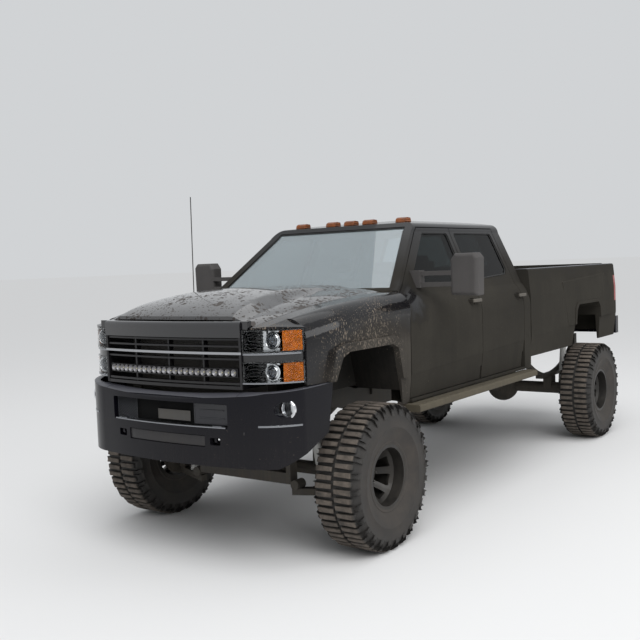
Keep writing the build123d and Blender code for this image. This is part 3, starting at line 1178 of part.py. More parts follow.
# Rear axle on leaf springs
AXLE_TUBE_RADIUS = 62.0
SHOCK_FOOT_Z = TYRE_RADIUS - 28.0
BRAKE_Y = HUB_Y - 73
axle = rod((REAR_AXLE_S, -BRAKE_Y, TYRE_RADIUS), (REAR_AXLE_S, BRAKE_Y, TYRE_RADIUS), AXLE_TUBE_RADIUS)
axle = axle + Pos(at(REAR_AXLE_S), 0, TYRE_RADIUS) * Sphere(178)
axle = axle + rod((REAR_AXLE_S - 300, 0, TYRE_RADIUS + 60), (REAR_AXLE_S, 0, TYRE_RADIUS), 75)
for side in (1, -1):
    axle = axle + rod((REAR_AXLE_S, side * BRAKE_Y, TYRE_RADIUS),
                      (REAR_AXLE_S, side * (HUB_Y - TOUCH_GAP), TYRE_RADIUS), 88)
    axle = axle + rod((REAR_AXLE_S, side * (BRAKE_Y - 15), TYRE_RADIUS),
                      (REAR_AXLE_S, side * (BRAKE_Y + 15), TYRE_RADIUS), 175)
    spans = sorted((side * (LEAF_Y - 45), side * (LEAF_Y + 45)))
    axle = axle + block((REAR_AXLE_S - 70, REAR_AXLE_S + 70), spans, (TYRE_RADIUS, LEAF_SEAT_Z))
    shock_span = sorted((side * 600, side * 735))
    axle = axle + block((REAR_AXLE_S, REAR_AXLE_S + 150), shock_span,
                        (SHOCK_FOOT_Z - 25, SHOCK_FOOT_Z))
save("rear_axle", axle)

rear_shock = rod((REAR_AXLE_S + 105, 655, SHOCK_FOOT_Z - 10), (REAR_AXLE_S + 230, 645, REAR_SHOCK_TOP_Z + 20),
                 SHOCK_RADIUS)
rear_shock = rear_shock & block((REAR_AXLE_S, REAR_AXLE_S + 400), (500, 800),
                                (SHOCK_FOOT_Z, REAR_SHOCK_TOP_Z))
save("shock_absorbers", *shocks, rear_shock, *[other_side(s) for s in shocks], other_side(rear_shock))


def leaf_spring():
    """A pack of leaves, bowed down to the axle between its two eyes."""
    low = LEAF_Y - LEAF_WIDTH / 2

    def arc(drop, reach):
        ends = [Vector(at(REAR_AXLE_S + side * reach), low, LEAF_EYE_Z + drop) for side in (-1, 1)]
        return ends[0], Vector(at(REAR_AXLE_S), low, LEAF_SEAT_Z + drop), ends[1]

    bottom = arc(0, LEAF_REACH)
    top = arc(LEAF_PACK, LEAF_REACH)
    outline = Wire.combine([
        Edge.make_three_point_arc(*bottom),
        Edge.make_line(bottom[2], top[2]),
        Edge.make_three_point_arc(*top),
        Edge.make_line(top[0], bottom[0]),
    ])[0]
    pack = extrude(Face(outline), amount=LEAF_WIDTH, dir=(0, 1, 0))
    eyes = [rod((s, low, LEAF_EYE_Z + 5), (s, low + LEAF_WIDTH, LEAF_EYE_Z + 5), 30)
            for s in (LEAF_FRONT_S, LEAF_REAR_S)]
    helper = block((REAR_AXLE_S - 300, REAR_AXLE_S + 300), (low, low + LEAF_WIDTH),
                   (LEAF_SEAT_Z, LEAF_SEAT_Z + 36))
    return pack + eyes + helper


save_pair("leaf_springs", leaf_spring())


# Drive shafts from the transfer case to the two axles
rear_shaft = rod((TAIL_END_S - 20, 0, GEARBOX_Z), (REAR_AXLE_S - 280, 0, TYRE_RADIUS + 56), 52) - gearbox - axle
front_shaft = rod((FRONT_AXLE_S + 235, 120, DIFF_Z + 46), (CASE_END_S + 15, 190, GEARBOX_Z + 25), 32) - gearbox - front_suspension
save("drive_shafts", rear_shaft, front_shaft, left_shaft, right_shaft)


# Exhaust along the right side, and the fuel tank on the left
TYRE_GAP = 49.0
PIPE_RADIUS = 42.0
EXHAUST_Y = TYRE_GAP + PIPE_RADIUS + TYRE_WIDTH / 2 - TRACK / 2
PIPE_INNER_Y = -260.0
PIPE_LOW_Z = 775.0
PIPE_END_Z = 880.0
MUFFLER_S = (3000.0, 3620.0)
MUFFLER_RADIUS = 105.0
TANK_S = (3000.0, 4220.0)
TANK_INNER_Y = 120.0
TANK_HEIGHTS = (700.0, 940.0)
exhaust_path = FilletPolyline(
    [(at(1750), PIPE_INNER_Y, PIPE_LOW_Z), (at(2150), PIPE_INNER_Y, PIPE_LOW_Z),
     (at(2600), EXHAUST_Y, PIPE_LOW_Z + 25), (at(FRAME_REAR_S - 70), EXHAUST_Y, PIPE_END_Z)],
    radius=180)
exhaust = sweep(Plane(origin=exhaust_path @ 0, z_dir=exhaust_path % 0) * Circle(PIPE_RADIUS),
                path=exhaust_path)
muffler = rod((MUFFLER_S[0], EXHAUST_Y, 809), (MUFFLER_S[1], EXHAUST_Y, 822), MUFFLER_RADIUS)
hangers = [block((3890, 3910), (EXHAUST_Y + 20, -FRAME_OUTER_Y), (836, 860)),
           block((FRAME_REAR_S - 95, FRAME_REAR_S - 75), (EXHAUST_Y + 20, -FRAME_OUTER_Y),
                 (PIPE_END_Z + 10, PIPE_END_Z + 66))]
save("exhaust", exhaust + muffler + hangers)
tank = block(TANK_S, (TANK_INNER_Y, FRAME_INNER_Y), TANK_HEIGHTS)
save("fuel_tank", fillet(tank.edges().filter_by(Axis.X), 40))


# Running boards under the doors
step_board = block((STEP_FRONT_S, STEP_REAR_S), (968, STEP_OUTER_Y), (STEP_TOP_Z - STEP_DEPTH, STEP_TOP_Z))
step_board = fillet(step_board.edges().filter_by(Axis.X), 16)
for station in (1750, 2650, 3500):
    step_board = step_board + block((station, station + 60), (850, 975), (STEP_TOP_Z - 45, STEP_TOP_Z - 10))
    step_board = step_board + block((station, station + 60), (850, 960), (STEP_TOP_Z - 45, SILL_Z))
save_pair("running_boards", step_board)


# Cab interior: dashboard, steering wheel and seats
DASH_FACE_S = 1880.0
dash = side_prism([(CAB_FRONT_S + CAB_WALL, 1340), (CAB_FRONT_S + CAB_WALL, 1690), (1780, 1700),
                   (DASH_FACE_S, 1640), (DASH_FACE_S - 40, 1400)], -800, 800, 18)
save("dashboard", dash)
WHEEL_S = 2010.0
DRIVER_Y = 400.0
steering_plane = Plane(origin=(at(WHEEL_S), DRIVER_Y, 1600), z_dir=(-1, 0, 0.42))
steering_wheel = steering_plane * Torus(185, 16)
steering_wheel = steering_wheel + steering_plane * Cylinder(52, 30)
steering_wheel = steering_wheel + [steering_plane * Rot(0, 0, a) * Pos(92, 0, 0) * Box(190, 34, 14)
                                   for a in (0, 180, 270)]
column = steering_plane * Pos(0, 0, -85) * Cylinder(38, 160)
save("steering_wheel", (steering_wheel + column) - dash)


def seat(front_s, low_y, high_y, back_top_z, rest_ys):
    """A seat with its cushion, a back that leans rearward and its head restraints on two posts each."""
    made = side_prism([(front_s + 60, FLOOR_Z), (front_s + 20, 1240), (front_s, 1360), (front_s + 40, 1400),
                       (front_s + 480, 1370), (front_s + 560, 1640), (front_s + 600, back_top_z),
                       (front_s + 700, back_top_z), (front_s + 640, 1300), (front_s + 560, FLOOR_Z)],
                      low_y, high_y, 22)
    for y in rest_ys:
        rest = block((front_s + 602, front_s + 692), (y - 125, y + 125), (back_top_z + 25, back_top_z + 190))
        posts = [rod((front_s + 650, post_y, back_top_z - 10), (front_s + 650, post_y, back_top_z + 60), 7)
                 for post_y in (y - 60, y + 60)]
        made = made + fillet(rest.edges(), 25) + posts
    return made


front_seats = [seat(2120, y - 250, y + 250, 1850, (y,)) for y in (-DRIVER_Y, DRIVER_Y)]
rear_seat = seat(2960, -720, 720, 1800, (-450, 0, 450))
save("seats", *front_seats, rear_seat)


# Whip antenna on the right front fender, and the clearance lamps on the roof
ANTENNA_S = 1245.0
ANTENNA_Y = -860.0
antenna_base = hood_edge_z(ANTENNA_S) - 4
whip = rod((ANTENNA_S, ANTENNA_Y, antenna_base), (ANTENNA_S, ANTENNA_Y, antenna_base + 26), 22)
whip = whip + rod((ANTENNA_S, ANTENNA_Y, antenna_base + 20),
                  (ANTENNA_S + 12, ANTENNA_Y, antenna_base + 830), 4)
save("antenna", whip - other_side(fender))

MARKER_YS = (-520.0, -190.0, 0.0, 190.0, 520.0)
MARKER_HALF_WIDTH = 50.0
# The side outline of a clearance lamp, as (station, height) points
MARKER_OUTLINE = [(2292, 2290), (2308, 2334), (2334, 2346), (2384, 2342), (2400, 2290)]
marker_lamps = [side_prism(MARKER_OUTLINE, y - MARKER_HALF_WIDTH, y + MARKER_HALF_WIDTH, 6) - cab_body
                for y in MARKER_YS]
save("marker_lamps", *marker_lamps)


# Wheels: a tyre out to its lugs' tips and a rim with a dished, drilled disc
def ring(points):
    """Turns a closed outline of (radius, width) points about the wheel's axis."""
    wire = Wire.make_polygon([(r, y, 0) for r, y in points], close=True)
    return revolve(Face(wire), axis=Axis.Y, revolution_arc=360)


PITCH_ANGLE = 360.0 / LUG_COUNT
FACET_STRETCH = 1 / math.cos(math.radians(PITCH_ANGLE / 2))


def faceted_ring(profile):
    """A closed profile of (width, radius) points carried round the axle, with one flat facet for each lug."""
    faces = []
    for index in range(LUG_COUNT):
        first = math.radians(PITCH_ANGLE * (index - 0.5))
        last = math.radians(PITCH_ANGLE * (index + 0.5))
        for (y, radius), (next_y, next_radius) in zip(profile, profile[1:] + profile[:1]):
            corners = []
            for turn, corner_y, corner_radius in ((first, y, radius), (last, y, radius),
                                                  (last, next_y, next_radius), (first, next_y, next_radius)):
                reach = corner_radius * FACET_STRETCH
                corners.append(Vector(reach * math.sin(turn), corner_y, reach * math.cos(turn)))
            faces.append(Face(Wire.make_polygon(corners, close=True)))
    return Solid(Shell(faces))


def make_lug(is_long, side):
    """One lug, standing over the wheel's axis, before it is turned to its place."""
    half = TYRE_WIDTH / 2
    root = TYRE_RADIUS - TREAD_DEPTH - 10
    half_angle = math.asin(LUG_WIDTH / 2 / TYRE_RADIUS)
    nearest = math.radians(PITCH_ANGLE * LUG_STAGGER) - half_angle
    tip = TYRE_RADIUS / math.cos(nearest) * math.cos(half_angle)
    inner = CENTRE_GROOVE / 2
    if is_long:
        points = [(inner, root), (inner, tip), (half - 42, tip), (half, tip - 52), (half - 14, tip - 84)]
    else:
        points = [(inner, root), (inner, tip), (half - 62, tip), (half - 46, root)]
    wire = Wire.make_polygon([Vector(-LUG_WIDTH / 2, side * y, r) for y, r in points], close=True)
    return extrude(Face(wire), amount=LUG_WIDTH, dir=(1, 0, 0))


def make_tyre():
    """The tyre, centred on the origin with its axis along y: a carcass and two staggered rows of lugs."""
    half = TYRE_WIDTH / 2
    bore = BEAD_RADIUS + TOUCH_GAP
    bead_y = RIM_WIDTH / 2 - RIM_WALL - TOUCH_GAP
    right = [(bead_y, bore), (bead_y, bore + 22), (half - 18, bore + 76), (half - 2, TYRE_RADIUS - 93),
             (half - 29, TYRE_RADIUS - TREAD_DEPTH)]
    left = [(-y, radius) for y, radius in reversed(right)]
    lugs = []
    for side in (1, -1):
        for index in range(LUG_COUNT):
            turn = PITCH_ANGLE * (index + side * LUG_STAGGER)
            lugs.append(Rot(0, turn, 0) * make_lug(index % 2 == 0, side))
    return faceted_ring(right + left) + lugs


def window_cut():
    """The cutter of one window between two of the rim's spokes."""
    points = []
    ends = ((WINDOW_INNER_RADIUS, WINDOW_ANGLE * 0.36), (WINDOW_OUTER_RADIUS, WINDOW_ANGLE / 2))
    for radius, angle in ends:
        for side in (-1, 1):
            turn = math.radians(side * angle)
            points.append(Vector(radius * math.cos(turn), -TYRE_WIDTH, radius * math.sin(turn)))
    wire = Wire.make_polygon([points[0], points[2], points[3], points[1]], close=True)
    return extrude(rounded(Face(wire), 9), amount=2 * TYRE_WIDTH, dir=(0, 1, 0))


def make_rim():
    """The rim with its disc, whose hub face looks inward along minus y."""
    half = RIM_WIDTH / 2
    flange = BEAD_RADIUS + 14
    barrel = ring([(BEAD_RADIUS, -half), (flange, -half), (flange, -half + RIM_WALL),
                   (BEAD_RADIUS, -half + RIM_WALL), (BEAD_RADIUS - 6, 0), (BEAD_RADIUS, half - RIM_WALL),
                   (flange, half - RIM_WALL), (flange, half), (BEAD_RADIUS - 14, half),
                   (BEAD_RADIUS - 20, 0), (BEAD_RADIUS - 14, -half)])
    disc = ring([(HUB_BORE_RADIUS, -HUB_FACE), (120, -HUB_FACE), (BEAD_RADIUS - 16, 30),
                 (BEAD_RADIUS - 16, 30 + DISC_THICKNESS), (110, DISC_THICKNESS - HUB_FACE),
                 (HUB_BORE_RADIUS, DISC_THICKNESS - HUB_FACE)])
    bolt_cut = Rot(90, 0, 0) * Cylinder(BOLT_HOLE_RADIUS, 3 * TYRE_WIDTH)
    for index in range(BOLT_COUNT):
        turn = Rot(0, 360 / BOLT_COUNT * index, 0)
        half_turn = Rot(0, 360 / BOLT_COUNT * (index + 0.5), 0)
        disc = disc - turn * Pos(BOLT_CIRCLE_RADIUS, 0, 0) * bolt_cut
        disc = disc - half_turn * window_cut()
    return barrel + disc


tyre = make_tyre()
rim = make_rim()
AXLES = {"front": FRONT_AXLE_S, "rear": REAR_AXLE_S}
for axle_name, station in AXLES.items():
    place = Pos(at(station), WHEEL_Y, TYRE_RADIUS)
    for side, turned in (("left", lambda shape: shape), ("right", other_side)):
        save(f"tyre_{axle_name}_{side}", turned(place * tyre))
        save(f"rim_{axle_name}_{side}", turned(place * rim))
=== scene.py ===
import json
import math
import bmesh
import bpy
from mathutils import Matrix, Vector


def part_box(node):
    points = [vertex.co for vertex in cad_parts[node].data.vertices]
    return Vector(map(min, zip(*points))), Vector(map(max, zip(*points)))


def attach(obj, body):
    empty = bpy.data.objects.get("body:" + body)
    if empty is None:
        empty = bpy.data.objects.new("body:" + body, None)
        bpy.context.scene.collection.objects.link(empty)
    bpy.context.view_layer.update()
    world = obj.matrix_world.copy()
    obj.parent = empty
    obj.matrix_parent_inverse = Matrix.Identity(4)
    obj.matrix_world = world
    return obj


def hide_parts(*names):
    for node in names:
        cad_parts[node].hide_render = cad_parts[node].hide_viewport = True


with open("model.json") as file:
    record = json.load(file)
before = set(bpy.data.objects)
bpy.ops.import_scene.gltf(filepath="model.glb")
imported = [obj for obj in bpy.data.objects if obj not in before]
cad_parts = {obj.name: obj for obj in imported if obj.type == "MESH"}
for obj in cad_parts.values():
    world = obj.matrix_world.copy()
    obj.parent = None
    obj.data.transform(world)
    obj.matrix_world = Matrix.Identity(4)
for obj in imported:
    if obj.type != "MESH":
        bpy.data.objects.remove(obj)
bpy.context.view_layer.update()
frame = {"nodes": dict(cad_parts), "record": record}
nodes = frame["nodes"]

# Ladder frame, crossmembers and suspension arms: pressed and welded steel, painted satin black.
# Gravel roads have left them dusty, and rust comes through on the undersides and at the welds.
BODIES = frame["record"]["behaviour"]["bodies"]
DUST = (0.115, 0.1, 0.08)
MUD = (0.24, 0.2, 0.16)
DARK_GLOSS_EDGE = 0.16


def feed(tree, value, target):
    """Links a socket to an input, or sets the input to a plain value."""
    if isinstance(value, bpy.types.NodeSocket):
        tree.links.new(value, target)
    elif isinstance(value, tuple) and len(value) == 3 and target.type == "RGBA":
        target.default_value = (*value, 1.0)
    else:
        target.default_value = value


def node(tree, kind, values=None, **settings):
    """Adds one shader node with its properties set, and its inputs fed by name or number."""
    made = tree.nodes.new(kind)
    for name, value in settings.items():
        setattr(made, name, value)
    for name, value in (values or {}).items():
        feed(tree, value, made.inputs[name])
    return made


def maths(tree, operation, first, second=0.0, clamp=False):
    return node(tree, "ShaderNodeMath", {0: first, 1: second}, operation=operation,
                use_clamp=clamp).outputs[0]


def times(tree, first, second, clamp=False):
    return maths(tree, "MULTIPLY", first, second, clamp)


def vectors(tree, operation, first, second=(0.0, 0.0, 0.0)):
    return node(tree, "ShaderNodeVectorMath", {0: first, 1: second}, operation=operation).outputs


def ramp(tree, value, low, high, floor=0.0, top=1.0):
    """Maps a value from one range to another and holds it at the ends."""
    return node(tree, "ShaderNodeMapRange", {"Value": value, "From Min": low, "From Max": high,
            "To Min": floor, "To Max": top}, clamp=True).outputs[0]


def noise(tree, place, scale, detail=4.0, roughness=0.6, distortion=0.0):
    return node(tree, "ShaderNodeTexNoise", {"Vector": place, "Scale": scale, "Detail": detail,
            "Roughness": roughness, "Distortion": distortion}).outputs["Fac"]


def blended(tree, amount, first, second):
    """Mixes two colours by a mask."""
    return node(tree, "ShaderNodeMix", {0: amount, 6: first, 7: second}, data_type="RGBA").outputs[2]


def own_place(tree, scale=(1.0, 1.0, 1.0), centre=(0.0, 0.0, 0.0)):
    """The place of a point on its own piece, stretched and centred for a pattern."""
    place = node(tree, "ShaderNodeTexCoord").outputs["Object"]
    shrink = tuple(1.0 / factor for factor in scale)
    return node(tree, "ShaderNodeMapping", {"Vector": place, "Location": centre, "Scale": shrink},
                vector_type="TEXTURE").outputs[0]


def torn(tree, distance, scale, detail, depth):
    """A distance made uneven by noise, so that an edge drawn from it looks torn."""
    uneven = noise(tree, own_place(tree), scale, detail, 0.7)
    return maths(tree, "ADD", distance, times(tree, uneven, depth))


def new_group(name, inputs, outputs):
    """Starts a shader group with named inputs and outputs."""
    group = bpy.data.node_groups.new(name, "ShaderNodeTree")
    for label, value in inputs.items():
        item = group.interface.new_socket(name=label, in_out="INPUT", socket_type="NodeSocketFloat")
        item.default_value = value
    for label, kind in outputs.items():
        group.interface.new_socket(name=label, in_out="OUTPUT", socket_type=kind)
    return group, node(group, "NodeGroupInput").outputs, node(group, "NodeGroupOutput").inputs


def dust_group():
    """Dry road dust: thick low down, thin above, patchy, and washed into streaks by rain."""
    group, given, result = new_group("road_dust", {"Amount": 0.5, "Clear Above": 1.9, "Thick Below": 0.8,
            "Streaks": 0.4, "Even": 0.0}, {"Mask": "NodeSocketFloat", "Height": "NodeSocketFloat"})
    place = own_place(group)
    height = node(group, "ShaderNodeSeparateXYZ", {0: place}).outputs["Z"]
    low = ramp(group, height, given["Clear Above"], given["Thick Below"], 0.08, 1.0)
    patches = ramp(group, noise(group, place, 2.2, 6.0, 0.62, 0.4), 0.32, 0.7)
    grain = noise(group, place, 120.0, 4.0, 0.7)
    runs = ramp(group, noise(group, own_place(group, (30.0, 30.0, 0.8)), 1.0, 4.0, 0.6), 0.4, 0.68)
    shade = maths(group, "ADD", times(group, patches, 0.5), times(group, grain, 0.5))
    shade = maths(group, "ADD", shade, times(group, runs, given["Streaks"]))
    shade = maths(group, "ADD", times(group, shade, maths(group, "SUBTRACT", 1.0, given["Even"])),
                  given["Even"])
    mask = times(group, times(group, shade, low), given["Amount"], clamp=True)
    feed(group, mask, result["Mask"])
    feed(group, times(group, mask, grain), result["Height"])
    return group


def splash_group():
    """Mud flung up by the wheels: drops of mixed sizes in clusters, dried where they landed."""
    group, given, result = new_group("mud_splash", {"Amount": 0.5, "Drops": 70.0, "Stretch": 1.0},
                                     {"Mask": "NodeSocketFloat"})
    spread = node(group, "ShaderNodeCombineXYZ", {"X": 1.0, "Y": 1.0, "Z": given["Stretch"]}).outputs[0]
    place = vectors(group, "MULTIPLY", own_place(group), spread)["Vector"]
    clusters = noise(group, place, 3.4, 5.0, 0.65, 0.3)
    total = 0.0
    for factor, reach in ((1.0, 0.42), (0.38, 0.36)):
        count = times(group, given["Drops"], factor)
        drops = node(group, "ShaderNodeTexVoronoi", {"Vector": place, "Scale": count})
        size = times(group, ramp(group, clusters, 0.36, 0.66, 0.06, reach), given["Amount"])
        inside = ramp(group, maths(group, "SUBTRACT", size, drops.outputs["Distance"]), 0.0, 0.06)
        total = maths(group, "MAXIMUM", total, inside)
    feed(group, total, result["Mask"])
    return group


def rust_group():
    """Rust that breaks through paint in patches."""
    group, given, result = new_group("rust", {"Amount": 0.3},
                                     {"Mask": "NodeSocketFloat", "Color": "NodeSocketColor"})
    place = own_place(group)
    wide = noise(group, place, 7.0, 8.0, 0.75, 0.6)
    fine = noise(group, place, 70.0, 4.0, 0.7)
    edge = maths(group, "SUBTRACT", 0.8, times(group, given["Amount"], 0.5))
    feed(group, ramp(group, wide, edge, maths(group, "ADD", edge, 0.07)), result["Mask"])
    feed(group, blended(group, fine, (0.09, 0.028, 0.01), (0.26, 0.1, 0.035)), result["Color"])
    return group


road_dust, mud_splash, rust = dust_group(), splash_group(), rust_group()


def placed(tree, group, **values):
    """Places a shader group in a material with its own values."""
    made = node(tree, "ShaderNodeGroup", node_tree=group)
    for name, value in values.items():
        made.inputs[name.replace("_", " ").title()].default_value = value
    return made.outputs


def new_material(name):
    material = bpy.data.materials.new(name)
    material.use_nodes = True
    return material, material.node_tree, material.node_tree.nodes["Principled BSDF"]


def finish(name, color, rough, metallic=0.0, coat=0.0, specular=0.5, dust=None, streaks=0.3, even=0.0,
           splash=0.0, drops=70.0, stretch=1.0, rusting=0.0, dust_color=DUST, mud_color=MUD, grain=260.0,
           variation=0.15, bump=0.06, fade=None, dark_gloss=None):
    """A paint, metal, plastic or rubber with a fine grain, under rust, dust and mud where asked for.
    Dust is (amount, height above which it clears, height below which it is thick). It can thin out
    away from a point, as (x, z, near, far), and stay off a patch, as (x, y, z, radius)."""
    material, tree, shader = new_material(name)
    fine = noise(tree, own_place(tree), grain, 3.0, 0.6)
    darker = tuple((1.0 - variation) * c for c in color)
    lighter = tuple(min(1.0, (1.0 + variation) * c) for c in color)
    base, dull, relief = blended(tree, fine, darker, lighter), None, times(tree, fine, 0.3)
    if rusting:
        worn = placed(tree, rust, amount=rusting)
        base, dull = blended(tree, worn["Mask"], base, worn["Color"]), worn["Mask"]
    if dust:
        amount, clear_above, thick_below = dust
        film = placed(tree, road_dust, amount=amount, clear_above=clear_above, thick_below=thick_below,
                      streaks=streaks, even=even)
        mask = film["Mask"]
        if fade:
            x, z, near, far = fade
            away = vectors(tree, "LENGTH", own_place(tree, (1.0, 0.0001, 1.0), (x, 0.0, z)))["Value"]
            edge = torn(tree, away, 9.0, 6.0, 0.12)
            mask = times(tree, mask, ramp(tree, edge, near, far, 1.0, 0.05))
        if dark_gloss:
            beside = vectors(tree, "ABSOLUTE", own_place(tree))["Vector"]
            edge = torn(tree, vectors(tree, "DISTANCE", beside, dark_gloss[:3])["Value"], 14.0, 5.0, 0.2)
            mask = times(tree, mask, ramp(tree, edge, dark_gloss[3], dark_gloss[3] + DARK_GLOSS_EDGE, 0.1, 1.0))
        base = blended(tree, mask, base, dust_color)
        dull = mask if dull is None else maths(tree, "MAXIMUM", dull, mask)
        relief = maths(tree, "ADD", relief, film["Height"])
    if splash:
        spots = placed(tree, mud_splash, amount=splash, drops=drops, stretch=stretch)["Mask"]
        base = blended(tree, times(tree, spots, 0.75), base, mud_color)
        dull = spots if dull is None else maths(tree, "MAXIMUM", dull, spots)
        relief = maths(tree, "ADD", relief, spots)
    feed(tree, base, shader.inputs["Base Color"])
    if dull is None:
        feed(tree, ramp(tree, fine, 0.3, 0.7, max(0.02, rough - 0.04), rough + 0.06),
             shader.inputs["Roughness"])
        shader.inputs["Coat Weight"].default_value = coat
    else:
        feed(tree, ramp(tree, dull, 0.0, 0.6, rough, 0.9), shader.inputs["Roughness"])
        if coat:
            feed(tree, ramp(tree, dull, 0.0, 0.45, coat, 0.0), shader.inputs["Coat Weight"])
    shader.inputs["Metallic"].default_value = metallic
    shader.inputs["Specular IOR Level"].default_value = specular
    shader.inputs["Coat Roughness"].default_value = 0.03
    surface = node(tree, "ShaderNodeBump", {"Strength": bump, "Distance": 0.004, "Height": relief})
    feed(tree, surface.outputs[0], shader.inputs["Normal"])
    return material


def body_of(name):
    return next(body for body, members in BODIES.items() if name in members)


def alone(piece):
    """Makes one piece the only selected and active one."""
    if bpy.context.object and bpy.context.object.mode != "OBJECT":
        closed()
    bpy.ops.object.select_all(action="DESELECT")
    piece.select_set(True)
    bpy.context.view_layer.objects.active = piece


def opened(piece):
    """Opens a piece in edit mode with all of it selected."""
    alone(piece)
    bpy.ops.object.mode_set(mode="EDIT")
    bpy.ops.mesh.select_all(action="SELECT")


def closed():
    bpy.ops.object.mode_set(mode="OBJECT")


def modify(piece, kind, **settings):
    """Adds a modifier with its settings and applies it."""
    alone(piece)
    made = piece.modifiers.new(kind.lower(), kind)
    for name, value in settings.items():
        setattr(made, name, value)
    bpy.ops.object.modifier_apply(modifier=made.name)


def soften(piece, width, angle=32.0, segments=2):
    """Rounds the hard edges of a piece by a width and smooths its curves."""
    if width:
        modify(piece, "BEVEL", width=width, segments=segments, limit_method="ANGLE",
               angle_limit=math.radians(angle), use_clamp_overlap=True, miter_outer="MITER_ARC")
    alone(piece)
    bpy.ops.object.shade_smooth_by_angle(angle=math.radians(angle))


def merged_copy(source, name, flatten=True):
    """A welded copy of a CAD node's mesh, left in edit mode with everything selected."""
    copy = bpy.data.objects.new(name, nodes[source].data.copy())
    bpy.context.scene.collection.objects.link(copy)
    alone(copy)
    bpy.ops.mesh.customdata_custom_splitnormals_clear()
    opened(copy)
    bpy.ops.mesh.remove_doubles(threshold=0.00004)
    if flatten:
        bpy.ops.mesh.dissolve_limited(angle_limit=math.radians(0.6))
    return copy


def settle(piece, name, material, source, stands_for=False):
    """Names a finished piece, gives it its material and slot, and lets it ride with a CAD node."""
    alone(piece)
    piece.name = name
    piece.data.materials.clear()
    piece.data.materials.append(material)
    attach(piece, body_of(source))
    if stands_for:
        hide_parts(source)
    return piece


def refined(name, material, width=0.002, segments=2, flatten=True):
    """A welded copy of a CAD node with rounded edges and smooth curves, which stands for the node."""
    copy = merged_copy(name, f"{name}_finished", flatten and width > 0.0)
    soften(copy, width, segments=segments)
    modify(copy, "WEIGHTED_NORMAL", keep_sharp=True)
    return settle(copy, copy.name, material, name, True)


chassis_black = finish("chassis_black", (0.017, 0.016, 0.015), 0.5, dust=(0.9, 1.7, 0.4), rusting=0.3)
cast_iron = finish("cast_iron", (0.04, 0.037, 0.034), 0.6, metallic=0.35, dust=(0.9, 1.6, 0.4), rusting=0.35)
for name in ("frame_rails", "frame_crossmembers", "control_arms", "leaf_springs"):
    refined(name, chassis_black, 0.0015)
for name in ("front_suspension", "rear_axle", "drive_shafts", "exhaust", "fuel_tank", "radiator"):
    refined(name, chassis_black, 0.0)
for name in ("engine_block", "gearbox", "knuckle_left", "knuckle_right"):
    refined(name, cast_iron, 0.004)


# Tyres: a black rubber carcass moulded in one with two rows of lateral lugs, long and short by turns.
# The long ones wrap over the shoulder. Dry mud is left on the lug tops, and dust on the sidewalls.
SIDES = (("left", 1), ("right", -1))


def middle_of(name, axis):
    """The middle of a CAD node along an axis."""
    return (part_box(name)[0][axis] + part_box(name)[1][axis]) / 2


FRONT_AXLE_X, REAR_AXLE_X = middle_of("tyre_front_left", 0), middle_of("tyre_rear_left", 0)
AXLE_Z = middle_of("tyre_front_left", 2)
TREAD_RADIUS = 0.5075
TREAD_HALF = 0.175
GROOVE_RADIUS = 0.485
LUG_PAIRS = 28
LUG_LENGTH = 0.035
LUG_GAP = 0.011
LONG_LUG, SHORT_LUG = 0.136, 0.122
BEAD_RADIUS, BEAD_HALF = 0.2165, 0.112


def turned(name, centre, axis, rows, sides=64, fill=True):
    """A piece turned about an axis through a centre, from rows of (radius, distance along the axis)."""
    along = "XYZ".index(axis)
    tilt = {"X": (0.0, math.pi / 2, 0.0), "Y": (math.pi / 2, 0.0, 0.0), "Z": (0.0, 0.0, 0.0)}[axis]
    start = list(centre)
    start[along] += rows[0][1]
    bpy.ops.object.select_all(action="DESELECT")
    bpy.ops.mesh.primitive_circle_add(vertices=sides, radius=rows[0][0], location=start, rotation=tilt,
                                      fill_type="NGON" if fill else "NOTHING")
    piece = bpy.context.active_object
    piece.name = name
    bpy.ops.object.transform_apply(location=True, rotation=True, scale=True)
    opened(piece)
    if fill:
        bpy.ops.mesh.select_mode(type="FACE")
    for (radius, place), (next_radius, next_place) in zip(rows, rows[1:]):
        move = [0.0, 0.0, 0.0]
        move[along] = next_place - place
        extrude = bpy.ops.mesh.extrude_region_move if fill else bpy.ops.mesh.extrude_edges_move
        extrude(TRANSFORM_OT_translate={"value": move})
        factor = [next_radius / radius] * 3
        factor[along] = 1.0
        bpy.ops.transform.resize(value=factor, center_override=centre)
    bpy.ops.mesh.select_all(action="SELECT")
    bpy.ops.mesh.remove_doubles(threshold=0.00001)
    bpy.ops.mesh.normals_make_consistent(inside=False)
    closed()
    return piece


def box_piece(name, low, high):
    """A box between two opposite corners, with its place in its mesh."""
    bpy.ops.object.select_all(action="DESELECT")
    bpy.ops.mesh.primitive_cube_add(size=1.0, location=[(a + b) / 2 for a, b in zip(low, high)],
                                    scale=[abs(b - a) for a, b in zip(low, high)])
    piece = bpy.context.active_object
    piece.name = name
    bpy.ops.object.transform_apply(location=True, rotation=True, scale=True)
    return piece


def pick(piece, kind, test):
    """Selects in edit mode the vertices, edges or faces whose middle and normal pass a test."""
    bpy.ops.mesh.select_mode(type=kind)
    bpy.ops.mesh.select_all(action="DESELECT")
    mesh = bmesh.from_edit_mesh(piece.data)
    if kind == "VERT":
        for vertex in mesh.verts:
            vertex.select = test(vertex.co)
    elif kind == "EDGE":
        for edge in mesh.edges:
            edge.select = test((edge.verts[0].co + edge.verts[1].co) / 2)
    else:
        for face in mesh.faces:
            face.select = test(face.calc_center_median(), face.normal)
    mesh.select_flush_mode()
    bmesh.update_edit_mesh(piece.data)


def joined(name, pieces):
    """Joins pieces into one."""
    alone(pieces[0])
    for piece in pieces[1:]:
        piece.select_set(True)
    bpy.ops.object.join()
    pieces[0].name = name
    return pieces[0]


